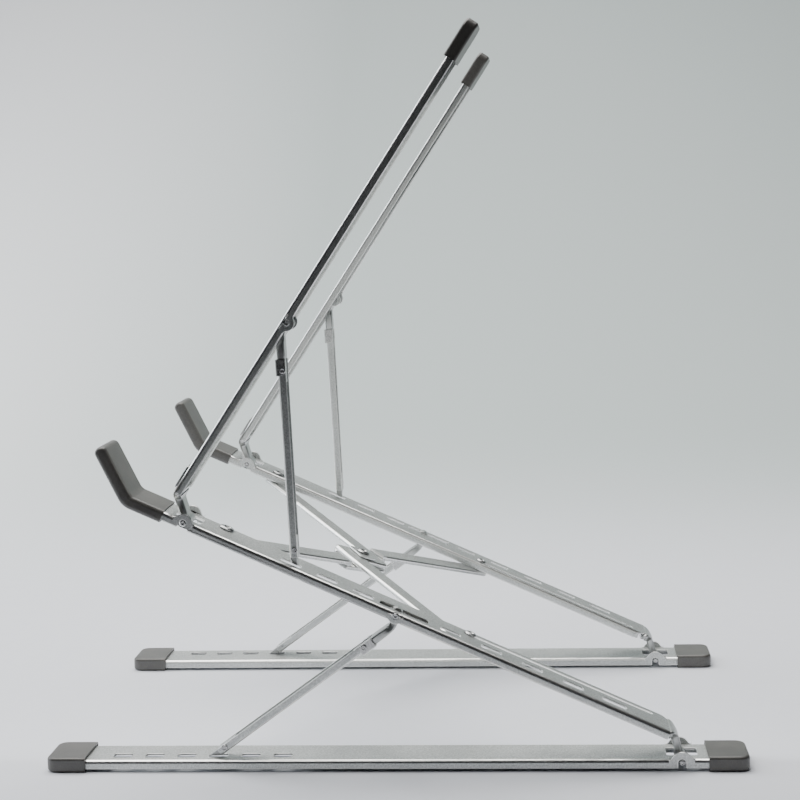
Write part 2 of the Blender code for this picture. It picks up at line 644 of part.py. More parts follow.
def arm_band(lean, end, inset, start, stop=None):
    """Outline of one half of an arm, from a distance out from the middle to its round end or to stop."""
    half = arm_reach() / 2
    width = ARM_HALF_WIDTH - inset
    turn = atan2(-lean * end * ARM_OFFSET, end * (half - HUB_ROOT))
    normal = (-sin(turn), cos(turn))

    def edge(distance, sign):
        across = end * lean * ARM_OFFSET * (half - distance) / (half - HUB_ROOT)
        return end * distance + sign * width * normal[0], across + sign * width * normal[1]

    if stop is None:
        tip = arc((end * half, 0), width, degrees(turn) - 90, degrees(turn) + 90, 8)
    else:
        tip = [edge(stop, -1), edge(stop, 1)]
    return tip + [edge(start, 1), edge(start, -1)]


def brace_arm(levels, hub_levels, lean):
    """Arm of the brace: a shallow pan whose two halves lie beside each other at a wide middle.

    Local x runs from the middle; lean is the side that the half at +x is set off to. Where the
    middle lies lower than the halves, a step joins them, so that the other arm can cross it."""
    (bottom, top), (hub_bottom, hub_top) = levels, hub_levels
    half = arm_reach() / 2
    stepped = hub_top < top
    step_in, step_out = ARM_STEP

    def hub(inset, low, high):
        x, y = HUB_HALF_LENGTH - inset, ARM_OFFSET + ARM_HALF_WIDTH - inset
        return prism(rounded_box((-x, -y), (x, y), 2.5 - inset), "Z", low, high)

    def halves(inset, start, stop, low, high):
        return [prism(arm_band(lean, end, inset, start, stop), "Z", low, high) for end in (1, -1)]

    holes = [upright_pin(x, 0, [(1.5, hub_bottom - 1), (1.5, top + 1)], 12) for x in (-half, 0, half)]
    if not stepped:
        arm = union(hub(0, bottom, top), *halves(0, HUB_ROOT, None, bottom, top))
        inside = union(hub(SHEET, bottom - 1, top - SHEET), *halves(SHEET, HUB_ROOT, None, bottom - 1, top - SHEET))
        return cut(arm, inside, *holes)
    arm = union(hub(0, hub_bottom, hub_top), *halves(0, HUB_ROOT, step_out, hub_bottom, hub_top))
    arm = union(arm, *halves(0, step_in, None, bottom, top), *halves(0.15, step_in + 0.15, step_out - 0.15, hub_bottom + 0.15, top - 0.15))
    inside = union(hub(SHEET, hub_bottom - 1, hub_top - SHEET),
                   *halves(SHEET, HUB_ROOT, step_in, hub_bottom - 1, hub_top - SHEET))
    return cut(arm, inside, *halves(SHEET, step_out, None, bottom - 1, top - SHEET), *holes)


def arm_reach():
    return hypot(BRACE_PIVOT - BRACE_SLIDE, 2 * (HALF_WIDTH - BRACE_INSET))


def brace_rivet(levels, head_radius, head_height):
    """Pivot rivet: head on the rail's web, shoulder down to the arm, tail inside the arm."""
    bottom, top = levels
    roof = KNUCKLE_RISE + GAP
    profile = [(head_radius * 0.6, roof + head_height), (head_radius, roof + head_height * 0.4),
               (head_radius, roof), (1.15, roof), (1.15, roof - SHEET - 2 * GAP), (2.2, roof - SHEET - 2 * GAP),
               (2.2, top + GAP), (1.15, top + GAP), (1.15, top - SHEET - GAP), (2.1, top - SHEET - GAP),
               (2.1, bottom + 0.1)]
    return upright_pin(0, 0, profile, 18)


def hub_plate():
    """Stiffening plate on the upper arm round the centre rivet."""
    floor = UPPER_ARM[1] + GAP
    plate = prism(rounded_box((-6.0, -4.0), (6.0, 4.0), 1.5), "Z", floor, floor + 0.6)
    return cut(plate, upright_pin(0, 0, [(1.5, floor - 1), (1.5, floor + 2)], 12))


def hub_rivet():
    head = UPPER_ARM[1] + 0.6 + 2 * GAP
    low = LOWER_ARM[1] - SHEET - GAP
    return upright_pin(0, 0, [(1.6, head + 0.8), (2.8, head + 0.35), (2.8, head), (1.15, head), (1.15, low),
                              (2.1, low), (2.1, low - 0.6)], 18)


# ---------------------------------------------------------------- assembly

def rail_place(along, level):
    """World x and z of a point on the main rail, given along it and above its hinge axis."""
    a = radians(MAIN_SLOPE)
    return HINGE_X - along * cos(a) + level * sin(a), HINGE_Z + along * sin(a) + level * cos(a)


def strut_pose(pin, foot, web):
    """Reach and slope of a strut whose pin and foot are given in world x and z."""
    offset = sum(STRUT_DEPTH) / 2
    distance = hypot(foot[0] - pin[0], foot[1] - pin[1])
    reach = sqrt(distance * distance - offset * offset)
    direct = degrees(atan2(-(foot[1] - pin[1]), foot[0] - pin[0]))
    return reach, direct + web * degrees(atan2(offset, reach))


def build_side(side_name, side):
    hinge = frame(HINGE_X, HINGE_Z, 0)
    finish(base_rail(side), f"{side_name}_base_rail", SILVER, hinge)
    finish(base_foot(side, -1), f"{side_name}_base_front_foot", RUBBER, hinge)
    finish(base_foot(side, 1), f"{side_name}_base_rear_foot", RUBBER, hinge)
    finish(hinge_pin(side, 0, 0, RAIL_WIDTH), f"{side_name}_rear_hinge_pin", STEEL, hinge)

    main = frame(HINGE_X, HINGE_Z, MAIN_SLOPE)
    finish(main_rail(side), f"{side_name}_main_rail", SILVER, main)
    finish(knuckle(side), f"{side_name}_main_rail_knuckle", CAST, main)
    finish(hook_sleeve(side), f"{side_name}_hook_sleeve", RUBBER, main)
    finish(hinge_pin(side, -FRONT_PIN, FRONT_PIN_LEVEL, RAIL_WIDTH), f"{side_name}_front_hinge_pin", STEEL, main)
    finish(hinge_pin(side, -MID_PIN, MID_PIN_LEVEL, 10.4), f"{side_name}_lower_strut_pin", STEEL, main)

    mid_pin = rail_place(MID_PIN, MID_PIN_LEVEL)
    reach, slope = strut_pose(mid_pin, (LOWER_FOOT_X, BASE_TOP + FOOT_GAP), 1)
    strut(side, side_name, "lower", reach, 1, 90 - slope, frame(*mid_pin, slope))

    front_pin = rail_place(FRONT_PIN, FRONT_PIN_LEVEL)
    upper = frame(*front_pin, -UPPER_SLOPE)
    finish(upper_rail(side), f"{side_name}_upper_rail", SILVER, upper)
    finish(upper_knuckle(side), f"{side_name}_upper_rail_knuckle", CAST, upper)
    finish(upper_clip(side), f"{side_name}_upper_rail_clip", STEEL, upper)
    finish(upper_cap(side), f"{side_name}_upper_rail_cap", RUBBER, upper)
    finish(hinge_pin(side, STRUT_PIN, STRUT_PIN_LEVEL, 10.4), f"{side_name}_upper_strut_pin", STEEL, upper)

    a = radians(UPPER_SLOPE)
    strut_pin = (front_pin[0] + STRUT_PIN * cos(a) - STRUT_PIN_LEVEL * sin(a),
                 front_pin[1] + STRUT_PIN * sin(a) + STRUT_PIN_LEVEL * cos(a))
    foot = rail_place(UPPER_FOOT_ALONG, KNUCKLE_RISE + FOOT_GAP)
    reach, slope = strut_pose(strut_pin, foot, -1)
    strut(side, side_name, "upper", reach, -1, 90 - slope + MAIN_SLOPE, frame(*strut_pin, slope))


def build_brace():
    main = frame(HINGE_X, HINGE_Z, MAIN_SLOPE)
    half_span = HALF_WIDTH - BRACE_INSET
    spread = degrees(acos((BRACE_PIVOT - BRACE_SLIDE) / arm_reach()))
    centre = Vector((-(BRACE_PIVOT + BRACE_SLIDE) / 2, 0, 0)) * MM

    def place(x, y, turn):
        return main @ Matrix.Translation(Vector((x, y, 0)) * MM) @ Matrix.Rotation(radians(turn), 4, "Z")

    middle = main @ Matrix.Translation(centre)
    turned_up = middle @ Matrix.Rotation(radians(-spread), 4, "Z")
    lower = place(-BRACE_PIVOT, -half_span, spread)
    arm = brace_arm(UPPER_ARM, LOWER_ARM, 1)
    arm.data.transform(Matrix.Translation(Vector((arm_reach() / 2, 0, 0)) * MM))
    finish(arm, "brace_lower_arm", SILVER, lower)
    finish(brace_arm(UPPER_ARM, UPPER_ARM, -1), "brace_upper_arm", SILVER, turned_up)
    finish(hub_plate(), "brace_hub_plate", SILVER, turned_up)
    finish(hub_rivet(), "brace_hub_rivet", STEEL, turned_up)
    finish(brace_rivet(UPPER_ARM, 3.0, 0.8), "right_brace_pivot_rivet", STEEL, place(-BRACE_PIVOT, -half_span, 0))
    finish(brace_rivet(UPPER_ARM, 3.0, 0.8), "left_brace_pivot_rivet", STEEL, place(-BRACE_PIVOT, half_span, 0))
    finish(brace_rivet(UPPER_ARM, 2.4, 0.7), "right_brace_slide_pin", STEEL, place(-BRACE_SLIDE, -half_span, 0))
    finish(brace_rivet(UPPER_ARM, 2.4, 0.7), "left_brace_slide_pin", STEEL, place(-BRACE_SLIDE, half_span, 0))


clear_scene()
for label, sign in SIDES.items():
    build_side(label, sign)
build_brace()
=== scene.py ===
import json
from math import asin, atan2, cos, degrees, hypot, pi, radians, sin, sqrt, tan

import bmesh
import bpy
from mathutils import Matrix, Vector


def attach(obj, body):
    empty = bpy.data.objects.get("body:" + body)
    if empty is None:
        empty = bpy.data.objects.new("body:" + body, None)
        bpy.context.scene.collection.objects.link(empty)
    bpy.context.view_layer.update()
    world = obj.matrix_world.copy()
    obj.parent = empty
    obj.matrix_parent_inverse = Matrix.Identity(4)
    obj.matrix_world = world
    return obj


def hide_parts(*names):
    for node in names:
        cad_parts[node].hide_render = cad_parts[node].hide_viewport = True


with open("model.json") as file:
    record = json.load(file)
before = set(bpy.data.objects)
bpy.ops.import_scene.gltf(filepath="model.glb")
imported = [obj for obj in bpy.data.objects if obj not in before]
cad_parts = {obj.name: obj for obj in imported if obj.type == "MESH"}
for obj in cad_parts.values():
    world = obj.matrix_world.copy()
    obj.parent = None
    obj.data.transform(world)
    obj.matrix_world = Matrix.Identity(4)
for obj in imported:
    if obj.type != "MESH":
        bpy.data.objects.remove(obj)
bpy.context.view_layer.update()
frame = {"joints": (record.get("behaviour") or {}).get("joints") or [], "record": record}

# ==================================================================== base rails
# Two shallow channels of 0.8 mm aluminium sheet, pressed, bead-blasted and anodised silver.
# They lie on the table, each with six punched slots for a strut, a window for the cast knuckle
# and two ears that hold the rear hinge pin. Their bends and punched rims get a lighter metal
# that paints the highlight lines along them.

MM = 0.001
SIDES = {"right": -1, "left": 1}
joints = {joint["name"]: joint for joint in frame["joints"]}
mounts = {mount["name"]: mount for mount in frame["record"]["mounts"]}
hinge_x, _, hinge_z = (value / MM for value in joints["main_rail_pitch"]["pos_m"])

HALF_WIDTH = 84.0
RAIL_WIDTH = 20.0
SHEET = 0.8
BEND = 1.5
BASE_TOP = 4.5
BASE_BOTTOM = 1.0
BASE_FRONT = -129.5
BASE_REAR = 129.5
BASE_SLOTS = [-104.1 + 12.35 * i for i in range(6)]
SLOT_INSET = 6.6
SLOT_WIDTH = 4.4
KNUCKLE_INSET = 9.85
WINDOW_WIDTH = 9.3
PIN_RADIUS = 1.0


def arc(centre, radius, start, end, steps=8):
    angles = [radians(start + (end - start) * i / steps) for i in range(steps + 1)]
    return [(centre[0] + radius * cos(a), centre[1] + radius * sin(a)) for a in angles]


def rounded_box(x0, y0, x1, y1, radius, steps=5):
    points = []
    for x, y, start in ((x1 - radius, y0 + radius, -90), (x1 - radius, y1 - radius, 0),
                        (x0 + radius, y1 - radius, 90), (x0 + radius, y0 + radius, 180)):
        points += arc((x, y), radius, start, start + 90, steps)
    return points


def ear(x, z, radius, line, fillet, up=1):
    """The outline of a round ear that grows out of a straight edge on hollow fillets."""
    reach = radius + fillet
    height = (line + up * fillet - z) * up
    spread = sqrt(reach * reach - height * height)
    lean = degrees(atan2(height, spread))
    points = arc((x - spread, line + up * fillet), fillet, -90 * up, -lean * up, 6)
    points += arc((x, z), radius, (180 - lean) * up, lean * up, 18)[1:-1]
    points += arc((x + spread, line + up * fillet), fillet, (180 + lean) * up, 270 * up, 6)
    return points


def across(side, near, far):
    """The y range between two distances in from a side frame's outer face."""
    ends = (side * (HALF_WIDTH - near), side * (HALF_WIDTH - far))
    return min(ends), max(ends)


def new_piece(build):
    mesh = bpy.data.meshes.new("work")
    mesh.materials.append(None)
    mesh.materials.append(None)
    bm = bmesh.new()
    build(bm)
    bmesh.ops.remove_doubles(bm, verts=bm.verts, dist=1e-7)
    bmesh.ops.recalc_face_normals(bm, faces=bm.faces)
    bm.to_mesh(mesh)
    bm.free()
    piece = bpy.data.objects.new("work", mesh)
    bpy.context.scene.collection.objects.link(piece)
    return piece


def skin(rings, closed=False, bright=()):
    """A surface through rings of points; faces whose place round the ring is in bright get slot 1."""
    def build(bm):
        loops = [[bm.verts.new(Vector(point) * MM) for point in ring] for ring in rings]
        count = len(rings[0])
        for one, two in zip(loops, loops[1:] + (loops[:1] if closed else [])):
            for i in range(count):
                j = (i + 1) % count
                face = bm.faces.new((one[i], one[j], two[j], two[i]))
                face.material_index = 1 if i in bright else 0
        if not closed:
            bm.faces.new(loops[0])
            bm.faces.new(loops[-1])
    return new_piece(build)


def blank(outline, axis, low, high):
    """Sheet or bar cut to an outline, in x and z along Y, or in x and y along Z."""
    if axis == "Y":
        return skin([[(x, level, z) for x, z in outline] for level in (low, high)])
    return skin([[(x, y, level) for x, y in outline] for level in (low, high)])


def turned(profile, axis, x, y, z, steps=32):
    """A turned piece: (radius, distance) pairs round Y or Z from a centre, open or closed on itself."""
    rings = []
    for i in range(steps):
        c, s = cos(2 * pi * i / steps), sin(2 * pi * i / steps)
        if axis == "Y":
            rings.append([(x + r * c, y + d, z + r * s) for r, d in profile])
        else:
            rings.append([(x + r * c, y + r * s, z + d) for r, d in profile])
    return skin(rings, closed=True)


def channel(x0, x1, low, high, floor, roof, sheet, bend):
    """A folded channel along x: a web at roof and two flanges down (or up) to floor."""
    up = 1 if roof > floor else -1
    near = [(low + bend + bend * cos(radians(a)), roof - up * (bend - bend * sin(radians(a))))
            for a in (180, 165, 150, 135, 120, 105, 90)]
    far = [(high + low - y, z) for y, z in reversed(near)]
    edge = 0.15
    section = [(low, floor + up * edge)] + near + far + [(high, floor + up * edge), (high - edge, floor)]
    section += [(high - sheet + edge, floor), (high - sheet, floor + up * edge)]
    section += [(high - sheet, roof - up * (sheet + 0.2)), (high - sheet - 0.2, roof - up * sheet)]
    section += [(low + sheet + 0.2, roof - up * sheet), (low + sheet, roof - up * (sheet + 0.2))]
    section += [(low + sheet, floor + up * edge), (low + sheet - edge, floor), (low + edge, floor)]
    # the bend faces take slot 1, the lighter rim metal that paints the highlight line along each bend
    bright = {2, 3, 4, 5, 9, 10, 11, 12}
    return skin([[(x, y, z) for y, z in section] for x in (x0, x1)], bright=bright)


def boolean(target, tools, operation):
    for tool in tools:
        modifier = target.modifiers.new("shape", "BOOLEAN")
        modifier.operation = operation
        modifier.solver = "EXACT"
        modifier.object = tool
        graph = bpy.context.evaluated_depsgraph_get()
        shaped = bpy.data.meshes.new_from_object(target.evaluated_get(graph))
        target.modifiers.clear()
        target.data = shaped
        bpy.data.objects.remove(tool)
    return target


def welded(target, *tools):
    return boolean(target, tools, "UNION")


def punched(target, *tools):
    return boolean(target, tools, "DIFFERENCE")


def slot_tool(x, inset, length, width, side, level, radius=1.3):
    """A punch for a slot; the walls that it leaves take the lighter rim metal, a painted highlight."""
    low, high = across(side, inset - width / 2, inset + width / 2)
    outline = rounded_box(x - length / 2, low, x + length / 2, high, radius)
    return skin([[(px, py, level + z) for px, py in outline] for z in (-2.2, 2.2)],
                bright=range(len(outline)))


def finished(piece, name, finishes, matrix, edge=0.2, angle=35, bright_edge=True):
    """Break a piece's edges, shade it, give it its finishes and set its mesh in its place."""
    if len(finishes) == 1:
        piece.data.polygons.foreach_set("material_index", [0] * len(piece.data.polygons))
        piece.data.materials.pop()
    for index, material in enumerate(finishes):
        piece.data.materials[index] = material
    if edge:
        bm = bmesh.new()
        bm.from_mesh(piece.data)
        bmesh.ops.dissolve_limit(bm, angle_limit=radians(0.4), verts=bm.verts, edges=bm.edges,
                                 delimit={"MATERIAL"})
        bm.to_mesh(piece.data)
        bm.free()
        broken = piece.modifiers.new("broken_edges", "BEVEL")
        broken.width = edge * MM
        broken.segments = 2
        broken.limit_method = "ANGLE"
        broken.angle_limit = radians(angle)
        broken.use_clamp_overlap = False
        # The bevel faces take slot 1, the lighter rim metal, which paints a highlight along the broken edges.
        if bright_edge and len(finishes) > 1:
            broken.material = 1
        graph = bpy.context.evaluated_depsgraph_get()
        shaped = bpy.data.meshes.new_from_object(piece.evaluated_get(graph))
        piece.modifiers.clear()
        piece.data = shaped
    piece.data.transform(matrix)
    piece.data.shade_smooth()
    piece.data.set_sharp_from_angle(angle=radians(angle))
    weighted = piece.modifiers.new("even_shading", "WEIGHTED_NORMAL")
    weighted.keep_sharp = True
    piece.name = name
    piece.data.name = name
    return piece


def fitted(piece, node, body):
    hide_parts(node)
    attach(piece, body)


def tilted(x, z, slope):
    """A place in the side view, turned about Y by a slope in degrees that lifts its front end."""
    return Matrix.Translation(Vector((x, 0, z)) * MM) @ Matrix.Rotation(radians(slope), 4, "Y")


def surface_nodes(name, roughness, metallic):
    material = bpy.data.materials.new(name)
    material.use_nodes = True
    nodes, links = material.node_tree.nodes, material.node_tree.links
    shader = nodes["Principled BSDF"]
    shader.inputs["Roughness"].default_value = roughness
    shader.inputs["Metallic"].default_value = metallic
    place = nodes.new("ShaderNodeTexCoord")
    return material, nodes, links, shader, place.outputs["Object"]


def grain(nodes, links, place, scale, detail=2.0, roughness=0.6):
    noise = nodes.new("ShaderNodeTexNoise")
    noise.inputs["Scale"].default_value = scale
    noise.inputs["Detail"].default_value = detail
    noise.inputs["Roughness"].default_value = roughness
    links.new(place, noise.inputs["Vector"])
    return noise.outputs["Fac"]


def ramp(nodes, links, factor, stops):
    colours = nodes.new("ShaderNodeValToRGB")
    elements = colours.color_ramp.elements
    for element, (position, colour) in zip(elements, (stops[0], stops[-1])):
        element.position = position
        element.color = (*colour, 1)
    for position, colour in stops[1:-1]:
        elements.new(position).color = (*colour, 1)
    links.new(factor, colours.inputs["Fac"])
    return colours.outputs["Color"]


def mixed(nodes, links, kind, factor, one, two):
    mix = nodes.new("ShaderNodeMix")
    mix.data_type = "RGBA"
    mix.blend_type = kind
    mix.inputs["Factor"].default_value = factor
    links.new(one, mix.inputs["A"])
    links.new(two, mix.inputs["B"])
    return mix.outputs["Result"]


def bumped(nodes, links, shader, height, strength, distance):
    bump = nodes.new("ShaderNodeBump")
    bump.inputs["Strength"].default_value = strength
    bump.inputs["Distance"].default_value = distance * MM
    links.new(height, bump.inputs["Height"])
    links.new(bump.outputs["Normal"], shader.inputs["Normal"])


def blasted_aluminium(name, dark, light, low_rough, high_rough):
    """Bead-blasted and anodised sheet: fine sparkling grain over faint clouds left by the blasting."""
    material, nodes, links, shader, place = surface_nodes(name, 0.4, 1.0)
    beads = grain(nodes, links, place, 1500, 3.0, 0.7)
    clouds = grain(nodes, links, place, 55, 4.0, 0.55)
    base = ramp(nodes, links, beads, [(0.32, dark), (0.68, light)])
    tone = ramp(nodes, links, clouds, [(0.35, (0.86, 0.87, 0.87)), (0.65, (1.0, 1.0, 1.0))])
    links.new(mixed(nodes, links, "MULTIPLY", 1.0, base, tone), shader.inputs["Base Color"])
    rough = ramp(nodes, links, beads, [(0.3, (low_rough,) * 3), (0.72, (high_rough,) * 3)])
    links.new(rough, shader.inputs["Roughness"])
    bumped(nodes, links, shader, beads, 0.5, 0.03)
    return material


silver = blasted_aluminium("blasted_silver_sheet", (0.44, 0.45, 0.44), (0.74, 0.75, 0.74), 0.50, 0.34)


def painted_highlight_rim(name):
    """Punched and folded edges: brighter and smoother than the blasted faces, the lighter colour painting the
    highlight lines along bends and rims.
    """
    material, nodes, links, shader, place = surface_nodes(name, 0.28, 1.0)
    streaks = grain(nodes, links, place, 700, 2.0, 0.5)
    links.new(ramp(nodes, links, streaks, [(0.3, (0.84, 0.84, 0.82)), (0.7, (0.97, 0.97, 0.95))]),
              shader.inputs["Base Color"])
    bumped(nodes, links, shader, streaks, 0.25, 0.02)
    return material


rim = painted_highlight_rim("rim_painted_highlight")

for side_name, side in SIDES.items():
    low, high = across(side, 0, RAIL_WIDTH)
    top, bottom = BASE_TOP - hinge_z, BASE_BOTTOM - hinge_z
    rail = channel(BASE_FRONT - hinge_x, BASE_REAR - hinge_x, low, high, bottom, top, SHEET, BEND)
    outline = ear(0, 0, 4.2, top - 0.02, 1.4) + [(4.2, bottom + 1.2), (-4.2, bottom + 1.2)]
    for inset in (0, RAIL_WIDTH - SHEET):
        rail = welded(rail, blank(outline, "Y", *across(side, inset, inset + SHEET)))
    tools = [slot_tool(x - hinge_x, SLOT_INSET, 7.1, SLOT_WIDTH, side, top) for x in BASE_SLOTS]
    tools.append(slot_tool(0.45, KNUCKLE_INSET, 11.5, WINDOW_WIDTH, side, top, 0.9))
    notch = arc((0, 0), 1.5, 0, 180, 14) + [(-1.5, bottom - 1), (1.5, bottom - 1)]
    for start, end in ((-1, SHEET + 0.1), (RAIL_WIDTH - SHEET - 0.1, RAIL_WIDTH + 1)):
        tools.append(blank(notch, "Y", *across(side, start, end)))
    rail = finished(punched(rail, *tools), f"{side_name}_base_rail_pressing", [silver, rim],
                    tilted(hinge_x, hinge_z, 0), 0.24)
    fitted(rail, f"{side_name}_base_rail", f"{side_name}_base")

# ==================================================================== rubber feet of the base
# Each base rail's ends are pushed into moulded rubber feet with rounded outer corners and a square
# mouth. They stand a little proud of the rail all round, so only they touch the table.

FOOT_LENGTH = 15.2
FOOT_HEIGHT = 5.7
BASE_LENGTH = 265.0


def moulded_rubber(name):
    """Warm dark grey rubber with a fine spark-eroded grain and a little pale dust in it."""
    material, nodes, links, shader, place = surface_nodes(name, 0.6, 0.0)
    skin_grain = grain(nodes, links, place, 2200, 3.0, 0.6)
    bloom = grain(nodes, links, place, 120, 4.0, 0.6)
    base = ramp(nodes, links, skin_grain, [(0.3, (0.060, 0.058, 0.054)), (0.7, (0.100, 0.096, 0.089))])
    dust = ramp(nodes, links, bloom, [(0.35, (0.85, 0.85, 0.85)), (0.7, (1.15, 1.13, 1.1))])
    links.new(mixed(nodes, links, "MULTIPLY", 1.0, base, dust), shader.inputs["Base Color"])
    links.new(ramp(nodes, links, skin_grain, [(0.3, (0.34,) * 3), (0.7, (0.48,) * 3)]),
              shader.inputs["Roughness"])
    shader.inputs["Specular IOR Level"].default_value = 0.75
    bumped(nodes, links, shader, skin_grain, 0.30, 0.03)
    return material


rubber = moulded_rubber("moulded_rubber")


def rubber_end(outline, axis, low, high, hollows, name, matrix, rounding, mouth):
    """A rubber moulding: rounded but at its mouth, and hollowed for the metal it is pushed on to."""
    body = blank(outline, axis, low, high)
    bm = bmesh.new()
    bm.from_mesh(body.data)
    soft = [edge for edge in bm.edges if edge.calc_face_angle(0) > radians(40)
            and max(abs(vert.co.x / MM - mouth) for vert in edge.verts) > 0.01]
    bmesh.ops.bevel(bm, geom=soft, offset=rounding * MM, segments=6, profile=0.5, affect="EDGES",
                    clamp_overlap=False)
    bmesh.ops.recalc_face_normals(bm, faces=bm.faces)
    bm.to_mesh(body.data)
    bm.free()
    return finished(punched(body, *hollows), name, [rubber], matrix, 0, 38)


for side_name, side in SIDES.items():
    low, high = across(side, -1.0, RAIL_WIDTH + 1.0)
    for end_name, end in (("front", -1), ("rear", 1)):
        tip = end * BASE_LENGTH / 2 - hinge_x
        mouth = tip - end * FOOT_LENGTH
        corner = 4.0
        if end > 0:
            outline = [(mouth, low)] + arc((tip - corner, low + corner), corner, -90, 0, 10)
            outline += arc((tip - corner, high - corner), corner, 0, 90, 10) + [(mouth, high)]
        else:
            outline = [(mouth, high)] + arc((tip + corner, high - corner), corner, 90, 180, 10)
            outline += arc((tip + corner, low + corner), corner, 180, 270, 10) + [(mouth, low)]
        depth = tip - end * 2.7
        hollow = [(mouth - end, BASE_BOTTOM - 0.3 - hinge_z), (depth, BASE_BOTTOM - 0.3 - hinge_z),
                  (depth, BASE_TOP + 0.3 - hinge_z), (mouth - end, BASE_TOP + 0.3 - hinge_z)]
        tool = blank(hollow, "Y", *across(side, -0.3, RAIL_WIDTH + 0.3))
        foot = rubber_end(outline, "Z", -hinge_z, FOOT_HEIGHT - hinge_z, [tool],
                          f"{side_name}_{end_name}_rubber_foot", tilted(hinge_x, hinge_z, 0), 1.2, mouth)
        fitted(foot, f"{side_name}_base_{end_name}_foot", f"{side_name}_base")

# ==================================================================== hinge pins
# Short steel pins across the ears at every hinge. Each end is drilled and peened, so it shows as a
# small ring with a dark centre, and the middle is slimmer where it runs in the cast knuckle.

RAIL_ROOF = 9.2
RAIL_FLOOR = 6.0
main_normal = Vector(joints["width_fold"]["axis"])
main_slope = degrees(atan2(main_normal.x, main_normal.z))
main_place = tilted(hinge_x, hinge_z, main_slope)


def along_main(joint_name):
    """A joint's place on the main rail: its distance up the rail and its height over the rear hinge."""
    point = main_place.inverted() @ Vector(joints[joint_name]["pos_m"])
    return -point.x / MM, point.z / MM


def bright_steel(name):
    """Bright plated steel, lightly marked by the peening tool."""
    material, nodes, links, shader, place = surface_nodes(name, 0.25, 1.0)
    marks = grain(nodes, links, place, 900, 3.0, 0.6)
    links.new(ramp(nodes, links, marks, [(0.3, (0.42, 0.42, 0.42)), (0.7, (0.62, 0.62, 0.62))]),
              shader.inputs["Base Color"])
    links.new(ramp(nodes, links, marks, [(0.3, (0.20,) * 3), (0.7, (0.36,) * 3)]), shader.inputs["Roughness"])
    bumped(nodes, links, shader, marks, 0.3, 0.03)
    return material


steel = bright_steel("bright_steel")


def hinge_pin(name, side, x, z, length, matrix, node, body):
    low, high = across(side, 0.0, length)
    half = (high - low) / 2
    profile = []
    for sign in (-1, 1):
        end = [(0.02, sign * (half - 0.35)), (0.42, sign * (half - 0.3)), (0.55, sign * (half - 0.05)),
               (0.72, sign * half), (0.9, sign * (half - 0.07)), (PIN_RADIUS, sign * (half - 0.25)),
               (PIN_RADIUS, sign * (half - SHEET)), (0.6, sign * (half - SHEET))]
        profile += end if sign < 0 else list(reversed(end))
    pin = finished(turned(profile, "Y", x, (low + high) / 2, z), name, [steel], matrix, 0, 40)
    fitted(pin, node, body)


front_pin, front_pin_level = along_main("right_upper_rail_pitch")
strut_pin, strut_pin_level = along_main("right_lower_strut_fold")
for side_name, side in SIDES.items():
    hinge_pin(f"{side_name}_rear_pin", side, 0, 0, RAIL_WIDTH, tilted(hinge_x, hinge_z, 0),
              f"{side_name}_rear_hinge_pin", f"{side_name}_base")
    hinge_pin(f"{side_name}_front_pin", side, -front_pin, front_pin_level, RAIL_WIDTH, main_place,
              f"{side_name}_front_hinge_pin", f"{side_name}_main")
    hinge_pin(f"{side_name}_lower_pin", side, -strut_pin, strut_pin_level, 10.4, main_place,
              f"{side_name}_lower_strut_pin", f"{side_name}_main")

# ==================================================================== main rails
# Sloping channels of the same blasted sheet. Eight slots take the upper strut's foot, a long slot
# guides the brace, and windows let the knuckles through. The web runs on as the hook's tongue.

KNUCKLE_START = 8.5
SLEEVE_START = 213.5
TONGUE_BEND = 227.9
HOOK_ANGLE = 40.0
RAIL_SLOTS = [30.9 + 16.65 * i for i in range(5)] + [133.0 + 14.8 * i for i in range(3)]
BRACE_INSET = 15.0
brace_pivot, _ = along_main("width_fold")


def up_hook(off, distance):
    """A point on the rising leg of the hook, off its middle line and along it from the bend."""
    a = radians(HOOK_ANGLE)
    return (-(TONGUE_BEND + distance * cos(a) - off * sin(a)),
            RAIL_ROOF - SHEET / 2 + distance * sin(a) + off * cos(a))


def pivot_tab(x, z, radius, side):
    """The inner tab that is folded down from the web beside a strut's knuckle."""
    outline = arc((x, z), radius, 180, 360, 14)
    outline += [(x + radius, RAIL_ROOF - 0.3), (x - radius, RAIL_ROOF - 0.3)]
    return blank(outline, "Y", *across(side, 9.6, 10.4))


def pin_bore(x, z, side, near, far, radius=PIN_RADIUS + 0.3):
    low, high = across(side, near, far)
    return blank(arc((x, z), radius, 0, 345, 23), "Y", low, high)


